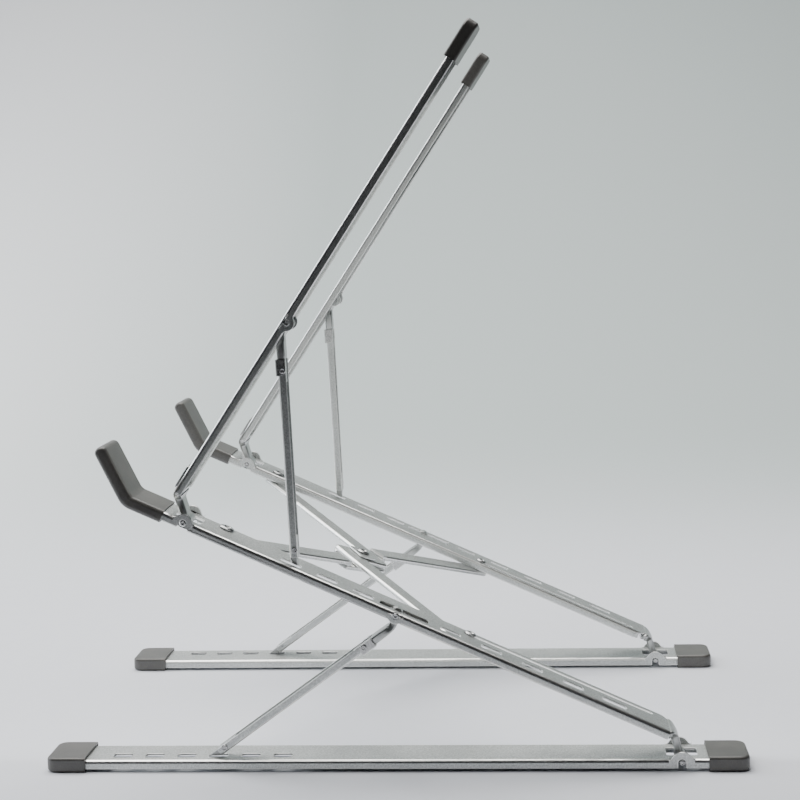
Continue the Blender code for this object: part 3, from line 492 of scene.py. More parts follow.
for side_name, side in SIDES.items():
    low, high = across(side, 0, RAIL_WIDTH)
    end = 224.0
    rail = channel(-end, -KNUCKLE_START, low, high, RAIL_FLOOR, RAIL_ROOF, SHEET, BEND)
    crown = [(-x, z) for x, z in ear(front_pin, front_pin_level, 3.5, RAIL_ROOF - 0.02, 1.5)]
    crown += [(-front_pin - 3.0, RAIL_FLOOR + 1), (-front_pin + 3.0, RAIL_FLOOR + 1)]
    boss = ear(-strut_pin, strut_pin_level, 3.1, RAIL_FLOOR + 0.02, 2.2, -1)
    boss += [(-strut_pin + 3.0, RAIL_ROOF - 1.2), (-strut_pin - 3.0, RAIL_ROOF - 1.2)]
    for inset in (0, RAIL_WIDTH - SHEET):
        rail = welded(rail, blank(crown, "Y", *across(side, inset, inset + SHEET)))
    rail = welded(rail, blank(boss, "Y", *across(side, 0, SHEET)),
                  pivot_tab(-strut_pin, strut_pin_level, 3.1, side))
    tongue = [(-end + 1, RAIL_ROOF - SHEET), up_hook(-SHEET / 2, 0.2), up_hook(-SHEET / 2, 16.5),
              up_hook(SHEET / 2, 16.5), up_hook(SHEET / 2, 0.0), (-end + 1, RAIL_ROOF)]
    rail = welded(rail, blank(tongue, "Y", *across(side, 3.0, 17.0)))
    corner = 6.0
    inner_end = side * (HALF_WIDTH - RAIL_WIDTH)
    outward = side
    sweep = [(-KNUCKLE_START - corner + corner * cos(radians(a)),
              inner_end + outward * corner * (1 - sin(radians(a)))) for a in range(0, 91, 9)]
    trim = sweep + [(-KNUCKLE_START - corner, inner_end - outward), (-KNUCKLE_START + 1, inner_end - outward),
                    (-KNUCKLE_START + 1, inner_end + outward * corner)]
    tools = [blank(trim, "Z", RAIL_FLOOR - 1, RAIL_ROOF + 1)]
    tools += [slot_tool(-u, SLOT_INSET, 9.8 if u < 40 else 8.2, SLOT_WIDTH, side, RAIL_ROOF)
              for u in RAIL_SLOTS]
    tools.append(slot_tool(-116.4, SLOT_INSET, 19.8, 5.2, side, RAIL_ROOF, 0.9))
    tools.append(slot_tool(-204.5, KNUCKLE_INSET, 10.0, WINDOW_WIDTH, side, RAIL_ROOF, 0.9))
    tools.append(slot_tool(-53.8, BRACE_INSET, 77.6, 2.7, side, RAIL_ROOF, 1.3))
    relief = [(-206.8, RAIL_FLOOR - 1), (-202.8, RAIL_FLOOR - 1), (-202.8, RAIL_FLOOR + 0.6),
              (-206.8, RAIL_FLOOR + 0.6)]
    tools.append(blank(relief, "Y", low - 1, high + 1))
    tools.append(pin_bore(-front_pin, front_pin_level, side, -1, SHEET + 0.1))
    tools.append(pin_bore(-front_pin, front_pin_level, side, RAIL_WIDTH - SHEET - 0.1, RAIL_WIDTH + 1))
    tools.append(pin_bore(-strut_pin, strut_pin_level, side, -1, SHEET + 0.1))
    tools.append(pin_bore(-strut_pin, strut_pin_level, side, 9.5, 10.5))
    rail = finished(punched(rail, *tools), f"{side_name}_main_rail_pressing", [silver, rim], main_place, 0.24)
    fitted(rail, f"{side_name}_main_rail", f"{side_name}_main")

# ==================================================================== cast knuckles of the rails
# Die-cast aluminium ends plugged into the channels. A broad root narrows to a thumb-shaped neck,
# which goes down through the window and ends in an eye round the hinge pin.

EYE_RADIUS = 2.25
KNUCKLE_WIDTH = 8.5


def cast_aluminium(name):
    """Die-cast aluminium, tumbled smooth: soft broad highlights with faint flow marks."""
    material, nodes, links, shader, place = surface_nodes(name, 0.36, 1.0)
    flow = grain(nodes, links, place, 160, 4.0, 0.5)
    fine = grain(nodes, links, place, 1900, 2.0, 0.6)
    base = ramp(nodes, links, flow, [(0.32, (0.46, 0.47, 0.46)), (0.7, (0.66, 0.67, 0.66))])
    speck = ramp(nodes, links, fine, [(0.3, (0.88,) * 3), (0.7, (1.0,) * 3)])
    links.new(mixed(nodes, links, "MULTIPLY", 1.0, base, speck), shader.inputs["Base Color"])
    links.new(ramp(nodes, links, flow, [(0.3, (0.30,) * 3), (0.7, (0.42,) * 3)]), shader.inputs["Roughness"])
    bumped(nodes, links, shader, fine, 0.25, 0.02)
    return material


cast = cast_aluminium("cast_aluminium")


def cast_bar(stations, corner, between=5):
    """A cast bar through (x, z, thickness, y low, y high) stations, smooth between them and round-edged."""
    path = [stations[0]] + stations + [stations[-1]]
    smooth = []
    for i in range(1, len(path) - 2):
        p0, p1, p2, p3 = (Vector(path[i + k]) for k in (-1, 0, 1, 2))
        for step in range(between):
            t = step / between
            smooth.append(0.5 * (2 * p1 + (p2 - p0) * t + (2 * p0 - 5 * p1 + 4 * p2 - p3) * t ** 2
                                 + (3 * p1 - p0 - 3 * p2 + p3) * t ** 3))
    smooth.append(Vector(stations[-1]))
    rings = []
    for i, station in enumerate(smooth):
        before, after = smooth[max(i - 1, 0)], smooth[min(i + 1, len(smooth) - 1)]
        lean = atan2(after[1] - before[1], after[0] - before[0])
        x, z, thick, low, high = station
        rounding = min(corner, thick / 2 - 0.02, (high - low) / 2 - 0.02)
        rings.append([(x - t * sin(lean), y, z + t * cos(lean))
                      for y, t in rounded_box(low, -thick / 2, high, thick / 2, rounding, 4)])
    return skin(rings)


def cast_eye(low, high, radius=EYE_RADIUS, bore=0.95, edge=0.35):
    profile = [(bore, low), (radius - edge, low), (radius - edge * 0.3, low + edge * 0.3),
               (radius, low + edge), (radius, high - edge), (radius - edge * 0.3, high - edge * 0.3),
               (radius - edge, high), (bore, high)]
    return turned(profile, "Y", 0, 0, 0)


def rail_knuckle(side, facing):
    """A rail's knuckle; facing is 1 where the rail runs away in -x, and -1 where it runs in +x."""
    low, high = across(side, KNUCKLE_INSET - KNUCKLE_WIDTH / 2, KNUCKLE_INSET + KNUCKLE_WIDTH / 2)
    wide_low, wide_high = across(side, 1.1, RAIL_WIDTH - 1.1)
    middle = (RAIL_ROOF + RAIL_FLOOR) / 2 - 0.05
    bend = 4.0
    start = KNUCKLE_START - 0.3
    tangent = degrees(atan2(middle - bend, start) + asin(bend / hypot(start, middle - bend)))
    stations = [(-start - 2.0, middle - 0.5, 1.4, wide_low + 0.3, wide_high - 0.3),
                (-start - 0.1, middle - 0.4, 1.6, wide_low + 0.3, wide_high - 0.3),
                (-start, middle, 3.0, wide_low, wide_high)]
    for i in range(1, 5):
        turn = radians(tangent * i / 4)
        share = (0, 0.1, 0.45, 0.85, 1.0)[i]
        stations.append((-start + bend * sin(turn), middle - bend + bend * cos(turn), 3.0,
                         wide_low + (low - wide_low) * share, wide_high + (high - wide_high) * share))
    a = radians(tangent)
    stations.append((-3.0 * cos(a), 3.0 * sin(a), 2.9, low, high))
    stations.append((-1.6 * cos(a), 1.6 * sin(a), 2.7, low + 0.1, high - 0.1))
    stations = [(facing * x, *rest) for x, *rest in stations]
    bore = blank(arc((0, 0), 0.95, 0, 345, 23), "Y", low - 1, high + 1)
    return welded(cast_bar(stations, 1.1), cast_eye(low, high)), bore


for side_name, side in SIDES.items():
    knuckle, bore = rail_knuckle(side, 1)
    knuckle = finished(punched(knuckle, bore), f"{side_name}_main_knuckle_casting", [cast], main_place, 0, 50)
    fitted(knuckle, f"{side_name}_main_rail_knuckle", f"{side_name}_main")

# ==================================================================== hook sleeves
# Thick rubber sleeves over the main rails' front ends, bent up at 40 degrees to stop the laptop
# from sliding off. The bend's inside is crisp, its outside is swept, and the tip is rounded.

SLEEVE_FLOOR = 4.9
SLEEVE_TOP = 9.9
HOOK_CORNER = 227.0
HOOK_LENGTH = 21.6

for side_name, side in SIDES.items():
    a = radians(HOOK_ANGLE)
    thick = SLEEVE_TOP - SLEEVE_FLOOR
    sweep_radius = 8.0
    outer_corner = HOOK_CORNER + thick * tan(a / 2)
    outline = [(SLEEVE_START, SLEEVE_FLOOR)]
    outline += arc((outer_corner - sweep_radius * tan(a / 2), SLEEVE_FLOOR + sweep_radius), sweep_radius,
                   -90, -90 + HOOK_ANGLE, 8)
    inner_tip = Vector((HOOK_CORNER + HOOK_LENGTH * cos(a), SLEEVE_TOP + HOOK_LENGTH * sin(a)))
    outer_tip = inner_tip + thick * Vector((sin(a), -cos(a)))
    up, out = Vector((cos(a), sin(a))), Vector((sin(a), -cos(a)))
    tip_radius = 2.4
    outline += arc(outer_tip - tip_radius * (up + out), tip_radius, HOOK_ANGLE - 90, HOOK_ANGLE, 8)
    outline += arc(inner_tip - tip_radius * (up - out), tip_radius, HOOK_ANGLE, HOOK_ANGLE + 90, 8)
    outline += [(HOOK_CORNER, SLEEVE_TOP), (SLEEVE_START, SLEEVE_TOP)]
    outline = [(-x, z) for x, z in outline]
    mouth = [(-SLEEVE_START + 1, RAIL_FLOOR - 0.3), (-224.3, RAIL_FLOOR - 0.3), (-224.3, RAIL_ROOF + 0.3),
             (-SLEEVE_START + 1, RAIL_ROOF + 0.3)]
    gap = SHEET / 2 + 0.3
    pocket = [(-223.0, RAIL_ROOF - SHEET / 2 - gap), up_hook(-gap, 0.25), up_hook(-gap, 16.8),
              up_hook(gap, 16.8), up_hook(gap, -0.25), (-223.0, RAIL_ROOF - SHEET / 2 + gap)]
    hollows = [blank(mouth, "Y", *across(side, -0.3, RAIL_WIDTH + 0.3)),
               blank(pocket, "Y", *across(side, 2.7, 17.3))]
    sleeve = rubber_end(outline, "Y", *across(side, -1.0, RAIL_WIDTH + 1.0), hollows,
                        f"{side_name}_hook_rubber", main_place, 1.7, -SLEEVE_START)
    fitted(sleeve, f"{side_name}_hook_sleeve", f"{side_name}_main")

# ==================================================================== upper rails
# Steeper channels that carry the laptop's back. Each has a strut pivot with a window and two
# bosses, a cast knuckle, a thin spring plate on its foot and a rubber cap on its top end.

UPPER_LENGTH = 209.2
CAP_START = 196.6
CAP_END = 212.5
front_hinge = joints["right_upper_rail_pitch"]["pos_m"]
face = Vector(mounts["right_upper_cap_face"]["axis"])
upper_slope = degrees(atan2(face.x, face.z))
upper_place = tilted(front_hinge[0] / MM, front_hinge[2] / MM, upper_slope)
pivot = upper_place.inverted() @ Vector(joints["right_upper_strut_fold"]["pos_m"])
upper_pin, upper_pin_level = pivot.x / MM, pivot.z / MM

for side_name, side in SIDES.items():
    low, high = across(side, 0, RAIL_WIDTH)
    body = f"{side_name}_upper"
    rail = channel(KNUCKLE_START, UPPER_LENGTH, low, high, RAIL_FLOOR, RAIL_ROOF, SHEET, BEND)
    boss = ear(upper_pin, upper_pin_level, 2.9, RAIL_FLOOR + 0.02, 2.2, -1)
    boss += [(upper_pin + 3.0, RAIL_ROOF - 1.2), (upper_pin - 3.0, RAIL_ROOF - 1.2)]
    rail = welded(rail, blank(boss, "Y", *across(side, 0, SHEET)),
                  pivot_tab(upper_pin, upper_pin_level, 2.9, side))
    tools = [slot_tool(upper_pin + 1.0, SLOT_INSET, 12.0, 5.2, side, RAIL_ROOF, 0.9),
             pin_bore(upper_pin, upper_pin_level, side, -1, SHEET + 0.1),
             pin_bore(upper_pin, upper_pin_level, side, 9.5, 10.5)]
    rail = finished(punched(rail, *tools), f"{side_name}_upper_rail_pressing", [silver, rim],
                    upper_place, 0.2)
    fitted(rail, f"{side_name}_upper_rail", body)

    knuckle, bore = rail_knuckle(side, -1)
    knuckle = finished(punched(knuckle, bore), f"{side_name}_upper_knuckle_casting", [cast],
                       upper_place, 0, 50)
    fitted(knuckle, f"{side_name}_upper_rail_knuckle", body)

    plate_low, plate_high = across(side, 2.0, RAIL_WIDTH - 2.0)
    plate = blank(rounded_box(9.6, plate_low, 19.0, plate_high, 1.0), "Z", RAIL_ROOF + 0.3, RAIL_ROOF + 0.8)
    plate = finished(plate, f"{side_name}_spring_plate", [steel, rim], upper_place, 0.12)
    fitted(plate, f"{side_name}_upper_rail_clip", body)

    cap_low, cap_high = across(side, -1.0, RAIL_WIDTH + 1.0)
    corner = 4.0
    outline = [(CAP_START, cap_low)] + arc((CAP_END - corner, cap_low + corner), corner, -90, 0, 10)
    outline += arc((CAP_END - corner, cap_high - corner), corner, 0, 90, 10) + [(CAP_START, cap_high)]
    hollow = [(CAP_START - 1, RAIL_FLOOR - 0.3), (UPPER_LENGTH + 0.3, RAIL_FLOOR - 0.3),
              (UPPER_LENGTH + 0.3, RAIL_ROOF + 0.3), (CAP_START - 1, RAIL_ROOF + 0.3)]
    cap = rubber_end(outline, "Z", RAIL_FLOOR - 0.8, RAIL_ROOF + 0.9,
                     [blank(hollow, "Y", *across(side, -0.3, RAIL_WIDTH + 0.3))],
                     f"{side_name}_top_cap_rubber", upper_place, 1.0, CAP_START)
    fitted(cap, f"{side_name}_upper_rail_cap", body)
    hinge_pin(f"{side_name}_upper_pin", side, upper_pin, upper_pin_level, 10.4, upper_place,
              f"{side_name}_upper_strut_pin", body)

# ==================================================================== struts
# Narrow channels that prop the rails. Each has a cast knuckle that bends on to its pin, a spring
# clip folded round its top end, and a riveted cast foot whose tip drops over a slot.

STRUT_INSET = 6.6
STRUT_WIDTH = 6.8
STRUT_NEAR = 1.7
STRUT_FAR = 4.7
STRUT_SHEET = 0.6
STRUT_START = 13.3
CLIP_RIVET = 17.4
RIVET_LEVEL = 2.8


def strut_pose(pin, foot, web):
    offset = (STRUT_NEAR + STRUT_FAR) / 2
    distance = hypot(foot[0] - pin[0], foot[1] - pin[1])
    reach = sqrt(distance * distance - offset * offset)
    direct = degrees(atan2(-(foot[1] - pin[1]), foot[0] - pin[0]))
    return reach, direct + web * degrees(atan2(offset, reach))


def strut_rivet(name, side, along, web, head, tail, matrix, node, body):
    """A small rivet: a domed, ringed head on the strut's outer side."""
    y = side * (HALF_WIDTH - head)
    length = tail - head
    profile = [(0.02, side * 0.25), (0.45, side * 0.22), (0.6, side * 0.40), (0.85, side * 0.45),
               (1.1, side * 0.34), (1.2, side * 0.12), (1.2, 0), (0.4, 0), (0.4, -side * length),
               (0.02, -side * length)]
    rivet = finished(turned(profile, "Y", along, y, web * RIVET_LEVEL, 20), name, [steel], matrix, 0, 40)
    fitted(rivet, node, body)


def strut(side_name, side, tier, reach, web, plane, matrix):
    prefix, body = f"{side_name}_{tier}_strut", f"{side_name}_{tier}_strut_body"
    low, high = across(side, STRUT_INSET - STRUT_WIDTH / 2, STRUT_INSET + STRUT_WIDTH / 2)
    bar = channel(STRUT_START, reach - 3.0, low, high, web * STRUT_NEAR, web * STRUT_FAR, STRUT_SHEET, 1.0)
    bar = finished(bar, f"{prefix}_pressing", [silver, rim], matrix, 0.1)
    fitted(bar, prefix, body)

    eye_low, eye_high = across(side, STRUT_INSET - 2.2, STRUT_INSET + 2.2)
    centre = (STRUT_NEAR + STRUT_FAR) / 2
    thick = STRUT_FAR - STRUT_NEAR
    stations = [(0.9, 0.7, thick * 0.85, eye_low, eye_high), (2.6, 2.1, thick * 0.92, eye_low, eye_high),
                (4.7, centre - 0.15, thick, eye_low - 0.2, eye_high + 0.2), (7.4, centre, thick, low, high),
                (STRUT_START - 0.3, centre, thick, low, high),
                (STRUT_START - 0.2, centre - 0.35, 1.7, low + 0.9, high - 0.9),
                (22.0, centre - 0.35, 1.7, low + 0.9, high - 0.9)]
    stations = [(x, web * z, *rest) for x, z, *rest in stations]
    neck = welded(cast_bar(stations, 0.8, 6), cast_eye(eye_low, eye_high, edge=0.3))
    bore = blank(arc((0, 0), 0.95, 0, 345, 23), "Y", eye_low - 1, eye_high + 1)
    neck = finished(punched(neck, bore), f"{prefix}_knuckle_casting", [cast], matrix, 0, 50)
    fitted(neck, f"{prefix}_knuckle", body)

    wrap = 0.75
    clip = channel(13.4, 19.4, low - wrap, high + wrap,
                   web * (STRUT_NEAR + 1.6), web * (STRUT_FAR + wrap), 0.45, 0.6)
    lobe = arc((CLIP_RIVET, STRUT_NEAR + 1.9), 1.9, -90, 0, 8)
    lobe = [(13.4, STRUT_NEAR)] + lobe + [(19.3, STRUT_NEAR + 2.0), (13.4, STRUT_NEAR + 2.0)]
    lobe = [(x, web * z) for x, z in lobe]
    for lobe_low in (low - wrap, high + wrap - 0.45):
        clip = welded(clip, blank(lobe, "Y", lobe_low, lobe_low + 0.45))
    clip = finished(clip, f"{prefix}_spring_clip", [steel, rim], matrix, 0.08)
    fitted(clip, f"{prefix}_clip", body)

    top = reach - 2.7
    slant = tan(radians(plane))
    plug_low, plug_high = across(side, STRUT_INSET - 2.4, STRUT_INSET + 2.4)
    plug = blank([(reach - 11.0, web * 1.9), (top + 0.3, web * 1.9), (top + 0.3, web * 3.8),
                  (reach - 11.0, web * 3.8)], "Y", plug_low, plug_high)
    blade_low, blade_high = across(side, STRUT_INSET - 1.8, STRUT_INSET + 1.8)
    tongue = [(top, centre - 1.0), (reach - slant * web, centre - 1.0), (reach + slant * web, centre + 1.0),
              (top, centre + thick / 2)]
    blade = blank([(x, web * z) for x, z in tongue], "Y", blade_low, blade_high)
    shoe = finished(welded(plug, blade), f"{prefix}_foot_casting", [cast], matrix, 0.25)
    fitted(shoe, f"{prefix}_foot", body)

    strut_rivet(f"{prefix}_clip_rivet_head", side, CLIP_RIVET, web, 2.45 - 0.3, 10.7, matrix,
                f"{prefix}_clip_rivet", body)
    strut_rivet(f"{prefix}_foot_rivet_head", side, reach - 5.8, web, 2.9, 10.0, matrix,
                f"{prefix}_foot_rivet", body)


lower_pin = [joints["right_lower_strut_fold"]["pos_m"][k] / MM for k in (0, 2)]
upper_pin_place = [joints["right_upper_strut_fold"]["pos_m"][k] / MM for k in (0, 2)]
lower_foot = (-68.6, BASE_TOP + 0.35)
upper_foot_point = main_place @ (Vector((-161.0, 0, RAIL_ROOF + 0.35)) * MM)
upper_foot = (upper_foot_point.x / MM, upper_foot_point.z / MM)
for side_name, side in SIDES.items():
    reach, slope = strut_pose(lower_pin, lower_foot, 1)
    strut(side_name, side, "lower", reach, 1, 90 - slope, tilted(*lower_pin, slope))
    reach, slope = strut_pose(upper_pin_place, upper_foot, -1)
    strut(side_name, side, "upper", reach, -1, 90 - slope + main_slope, tilted(*upper_pin_place, slope))

# ==================================================================== scissor brace
# Two flat channel arms with round ends, crossed under the main rails and riveted at the middle
# through a stiffening plate, where the lower one is stepped down to pass under the other. Each arm
# turns on a rivet in front and slides on a pin behind.

ARM_HALF_WIDTH = 4.4
ARM_OFFSET = 6.0
HUB_HALF_LENGTH = 7.0
HUB_ROOT = 4.0
STEP_IN = 16.0
STEP_OUT = 18.5
HUB_CORNER = 2.5
ARM_BORE = 1.5
RISER_HALF_WIDTH = 4.25
RISER_INSET = 0.15
UPPER_ARM = (3.9, 5.7)
LOWER_ARM = (1.8, 3.6)
brace_middle, _ = along_main("scissor_centre")
half_span = HALF_WIDTH - BRACE_INSET
arm_half = hypot(brace_pivot - brace_middle, half_span)
spread = degrees(atan2(half_span, brace_pivot - brace_middle))


def on_main(x, y, turn=0.0):
    return main_place @ Matrix.Translation(Vector((x, y, 0)) * MM) @ Matrix.Rotation(radians(turn), 4, "Z")


def arm_edge(distance, width):
    """A point on the edge of the arm's half at +x, for an arm whose halves are set off to the left."""
    turn = atan2(-ARM_OFFSET, arm_half - HUB_ROOT)
    off = ARM_OFFSET * (arm_half - distance) / (arm_half - HUB_ROOT)
    return distance - width * sin(turn), off + width * cos(turn)


def round_tip(width):
    """The half round the arm ends in."""
    turn = degrees(atan2(-ARM_OFFSET, arm_half - HUB_ROOT))
    return arc((arm_half, 0), width, turn - 90, turn + 90, 16)


def arm_plan(inset, stop=None):
    """Both halves and the wide middle that joins them, with round tips or cut off short at stop."""
    width = ARM_HALF_WIDTH - inset
    points = round_tip(width)
    if stop is not None:
        points = [arm_edge(stop - inset, -width), arm_edge(stop - inset, width)]
    points += [(HUB_ROOT, ARM_OFFSET + width)]
    points += arc((-HUB_HALF_LENGTH + HUB_CORNER, ARM_OFFSET + ARM_HALF_WIDTH - HUB_CORNER),
                  HUB_CORNER - inset, 90, 180, 6)
    shoulder = ARM_OFFSET * (arm_half - HUB_HALF_LENGTH) / (arm_half - HUB_ROOT)
    points.append((-HUB_HALF_LENGTH + inset, width - shoulder))
    return points + [(-x, -y) for x, y in points]


def half_plan(inset, end):
    """One half on its own, from the step out to its round tip."""
    width = ARM_HALF_WIDTH - inset
    points = round_tip(width) + [arm_edge(STEP_IN + inset, width), arm_edge(STEP_IN + inset, -width)]
    return [(end * x, end * y) for x, y in points]


def pan(plan, bottom, top, lean):
    """A shallow pan over an outline: a flat top, a folded rim all round and a hollow underside."""
    outside = [(0.12, bottom), (0, bottom + 0.12), (0, top - 0.9), (0.07, top - 0.55), (0.26, top - 0.26),
               (0.55, top - 0.07), (0.9, top)]
    inside = [(SHEET + 0.3, top - SHEET), (SHEET, top - SHEET - 0.25), (SHEET, bottom + 0.12),
              (SHEET - 0.12, bottom)]
    rings = [[(x, lean * y, level) for x, y in plan(inset)] for inset, level in outside + inside]
    crown = len(outside)

    def build(bm):
        loops = [[bm.verts.new(Vector(point) * MM) for point in ring] for ring in rings]
        count = len(loops[0])
        for number, one in enumerate(loops):
            if number == crown - 1:
                continue
            two = loops[(number + 1) % len(loops)]
            for i in range(count):
                j = (i + 1) % count
                face = bm.faces.new((one[i], one[j], two[j], two[i]))
                # the rounded rim faces take slot 1, the lighter rim metal that paints their highlight
                face.material_index = 1 if 2 <= number <= 5 else 0
        bm.faces.new(loops[crown - 1])
        bm.faces.new(loops[crown])
    return new_piece(build)


def upright(profile):
    return turned(profile, "Z", 0, 0, 0, 36)


def round_tool(x, radius, low, high):
    return blank([(x + radius * cos(radians(a)), radius * sin(radians(a))) for a in range(0, 360, 15)],
                 "Z", low, high)


def rail_rivet(levels, head_radius, head_height):
    """A rivet down through the rail's web: a ringed flat head, a shoulder, and a tail inside the arm."""
    bottom, top = levels
    roof = RAIL_ROOF + 0.3
    under = roof - SHEET - 0.6
    profile = [(0.02, roof + head_height * 0.55), (head_radius * 0.36, roof + head_height * 0.5),
               (head_radius * 0.46, roof + head_height * 0.92), (head_radius * 0.66, roof + head_height),
               (head_radius * 0.9, roof + head_height * 0.72), (head_radius, roof + head_height * 0.3),
               (head_radius * 0.97, roof), (1.15, roof), (1.15, under), (2.2, under), (2.2, top + 0.3),
               (1.15, top + 0.3), (1.15, top - SHEET - 0.3), (2.1, top - SHEET - 0.3), (2.1, bottom + 0.25),
               (1.9, bottom + 0.1), (0.02, bottom + 0.1)]
    return upright(profile)


upper_arm = pan(arm_plan, *UPPER_ARM, -1)
lower_arm = pan(lambda inset: arm_plan(inset, STEP_OUT), *LOWER_ARM, 1)
for end in (1, -1):
    riser = [arm_edge(STEP_OUT - RISER_INSET, -RISER_HALF_WIDTH),
             arm_edge(STEP_OUT - RISER_INSET, RISER_HALF_WIDTH),
             arm_edge(STEP_IN + RISER_INSET, RISER_HALF_WIDTH),
             arm_edge(STEP_IN + RISER_INSET, -RISER_HALF_WIDTH)]
    lower_arm = welded(lower_arm, pan(lambda inset: half_plan(inset, end), *UPPER_ARM, 1),
                       blank([(end * x, end * y) for x, y in riser], "Z",
                             LOWER_ARM[0] + RISER_INSET, UPPER_ARM[1] - RISER_INSET))
for name, arm, turn, body in (("lower", lower_arm, spread, "scissor_lower"),
                              ("upper", upper_arm, -spread, "scissor_upper")):
    tools = [round_tool(x, ARM_BORE, LOWER_ARM[0] - 1, UPPER_ARM[1] + 1)
             for x in (-arm_half, 0, arm_half)]
    arm = finished(punched(arm, *tools), f"brace_{name}_arm_pressing", [silver, rim],
                   on_main(-brace_middle, 0, turn), 0.1)
    fitted(arm, f"brace_{name}_arm", body)

hub_floor = UPPER_ARM[1] + 0.3
plate = blank(rounded_box(-6.0, -4.0, 6.0, 4.0, 1.5, 8), "Z", hub_floor, hub_floor + 0.6)
dimple = arc((-4.4, 0), 0.6, 0, 345, 23)
plate = punched(plate, round_tool(0, ARM_BORE, hub_floor - 1, hub_floor + 2),
                blank(dimple, "Z", hub_floor + 0.25, hub_floor + 2))
plate = finished(plate, "brace_hub_plate_pressing", [silver, rim], on_main(-brace_middle, 0, -spread), 0.14)
fitted(plate, "brace_hub_plate", "scissor_upper")

hub_head = UPPER_ARM[1] + 1.2
hub_tail = LOWER_ARM[1] - SHEET - 0.3
hub = upright([(0.02, hub_head + 0.5), (1.0, hub_head + 0.45), (1.25, hub_head + 0.78), (1.8, hub_head + 0.8),
               (2.5, hub_head + 0.55), (2.8, hub_head + 0.25), (2.75, hub_head), (1.15, hub_head),
               (1.15, hub_tail), (2.1, hub_tail), (2.1, hub_tail - 0.6), (0.02, hub_tail - 0.6)])
hub = finished(hub, "brace_hub_rivet_turned", [steel], on_main(-brace_middle, 0, -spread), 0, 40)
fitted(hub, "brace_hub_rivet", "scissor_upper")

brace_slide = 2 * brace_middle - brace_pivot
for name, levels, radius, height, u, y, body in (
        ("right_brace_pivot_rivet", UPPER_ARM, 3.0, 0.8, brace_pivot, -half_span, "right_main"),
        ("left_brace_pivot_rivet", UPPER_ARM, 3.0, 0.8, brace_pivot, half_span, "left_main"),
        ("right_brace_slide_pin", UPPER_ARM, 2.4, 0.7, brace_slide, -half_span, "scissor_upper"),
        ("left_brace_slide_pin", UPPER_ARM, 2.4, 0.7, brace_slide, half_span, "scissor_lower")):
    rivet = finished(rail_rivet(levels, radius, height), f"{name}_turned", [steel], on_main(-u, y), 0, 40)
    fitted(rivet, name, body)

# ==================================================================== studio
# A pale sweep that rises behind the stand, one broad soft light overhead and to the left, a cool
# fill on the left, and a darker side towards the viewer, so that the near faces go dark.


def paper(name, floor_tone, wall_left, wall_right):
    """Seamless paper: pale on the floor, and where it climbs, painted light at the left that fades to painted
    shade, a darker grey-green, on the right.
    """
    material, nodes, links, shader, place = surface_nodes(name, 0.9, 0.0)
    shader.inputs["Specular IOR Level"].default_value = 0.1
    axes = nodes.new("ShaderNodeSeparateXYZ")
    links.new(place, axes.inputs["Vector"])

    def spread(axis, start, end):
        span = nodes.new("ShaderNodeMapRange")
        span.interpolation_type = "SMOOTHSTEP"
        span.inputs["From Min"].default_value = start
        span.inputs["From Max"].default_value = end
        links.new(axes.outputs[axis], span.inputs["Value"])
        return span.outputs["Result"]

    # Painted light and shade on the climbing wall: brightest at the left, darkening to grey-green towards the
    # right.
    wall_light_and_shade = ramp(nodes, links, spread("X", -0.75, 0.25),
                [(0.0, wall_left), (0.62, wall_right), (1.0, wall_right)])
    fibres = grain(nodes, links, place, 90, 3.0, 0.6)
    floor = ramp(nodes, links, fibres, [(0.3, tuple(c * 0.985 for c in floor_tone)), (0.7, floor_tone)])
    blend = nodes.new("ShaderNodeMix")
    blend.data_type = "RGBA"
    links.new(spread("Y", 0.12, 0.75), blend.inputs["Factor"])
    links.new(floor, blend.inputs["A"])
    links.new(wall_light_and_shade, blend.inputs["B"])
    links.new(blend.outputs["Result"], shader.inputs["Base Color"])
    return material


curve = [(-1600, 0), (450, 0)] + [(450 + 1500 * sin(radians(a)), 1500 - 1500 * cos(radians(a)))
                                  for a in range(1, 90)] + [(1950, 3200)]


def unrolled(bm):
    rows = [[bm.verts.new(Vector((x, y, z)) * MM) for x in (-3000, 3000)] for y, z in curve]
    for one, two in zip(rows, rows[1:]):
        bm.faces.new((one[0], one[1], two[1], two[0]))


sweep = new_piece(unrolled)
sweep.data.materials.clear()
sweep.data.materials.append(
    paper("backdrop_paper", (0.83, 0.85, 0.905), (0.96, 0.975, 1.0), (0.53, 0.59, 0.585)))
sweep.data.shade_smooth()
sweep.name = "studio_sweep"


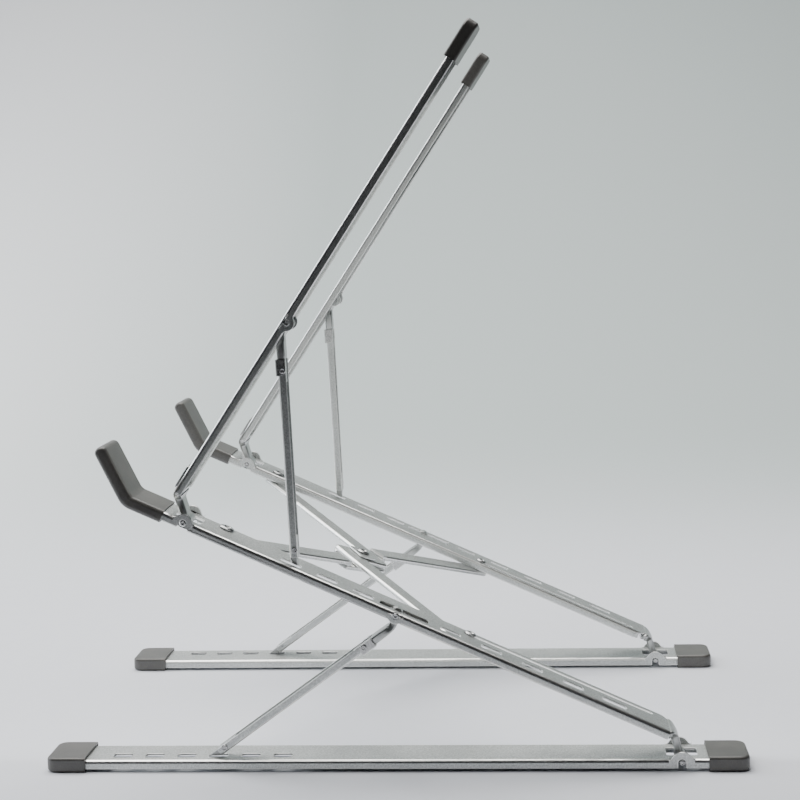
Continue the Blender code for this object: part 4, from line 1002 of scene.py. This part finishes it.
def soft_light(name, place, target, width, height, power, colour):
    lamp = bpy.data.lights.new(name, "AREA")
    lamp.shape = "RECTANGLE"
    lamp.size = width
    lamp.size_y = height
    lamp.energy = power
    lamp.color = colour
    holder = bpy.data.objects.new(name, lamp)
    holder.location = place
    holder.rotation_euler = (Vector(target) - Vector(place)).to_track_quat("-Z", "Y").to_euler()
    holder.visible_camera = False
    bpy.context.scene.collection.objects.link(holder)


soft_light("overhead_softbox", (-0.25, 0.40, 1.30), (0.0, 0.15, 0.05), 1.7, 1.3, 38, (1.0, 0.99, 0.97))
soft_light("left_cool_fill", (-1.3, 0.5, 0.70), (0.0, 0.5, 0.15), 0.7, 0.9, 11, (0.90, 0.95, 1.0))
soft_light("inner_fill", (0.0, -0.0735, 0.13), (0.0, 1.0, 0.13), 0.40, 0.24, 0.20, (0.97, 1.0, 0.98))

flag = blank([(-900, -1300), (900, -1300), (900, -340), (-900, -340)], "Z", 1.0, 2.0)
flag.name = "black_flag"
flag.data.materials.clear()
cloth, _, _, cloth_shader, _ = surface_nodes("black_cloth", 0.95, 0.0)
cloth_shader.inputs["Base Color"].default_value = (0.01, 0.01, 0.01, 1)
flag.data.materials.append(cloth)
flag.visible_camera = False
flag.visible_shadow = False

world = bpy.data.worlds.new("dim_studio")
world.use_nodes = True
sky, sky_links = world.node_tree.nodes, world.node_tree.links
direction = sky.new("ShaderNodeTexCoord")
parts = sky.new("ShaderNodeSeparateXYZ")
sky_links.new(direction.outputs["Generated"], parts.inputs["Vector"])
glow = ramp(sky, sky_links, parts.outputs["Y"], [(0.0, (0.012, 0.013, 0.014)), (0.9, (0.14, 0.145, 0.15))])
sky_links.new(glow, sky["Background"].inputs["Color"])
bpy.context.scene.world = world

camera = bpy.data.cameras.new("viewpoint")
camera.lens = 79.9
camera.sensor_width = 36.0
viewer = bpy.data.objects.new("viewpoint", camera)
forward = Vector((-0.07758, 0.99103, -0.10879)).normalized()
upward = Vector((0.01758, 0.11046, 0.99372))
right = forward.cross(upward).normalized()
upward = right.cross(forward)
viewer.matrix_world = Matrix((
    (right.x, upward.x, -forward.x, 0.0566), (right.y, upward.y, -forward.y, -0.7278),
    (right.z, upward.z, -forward.z, 0.2108), (0, 0, 0, 1)))
bpy.context.scene.collection.objects.link(viewer)
bpy.context.scene.camera = viewer
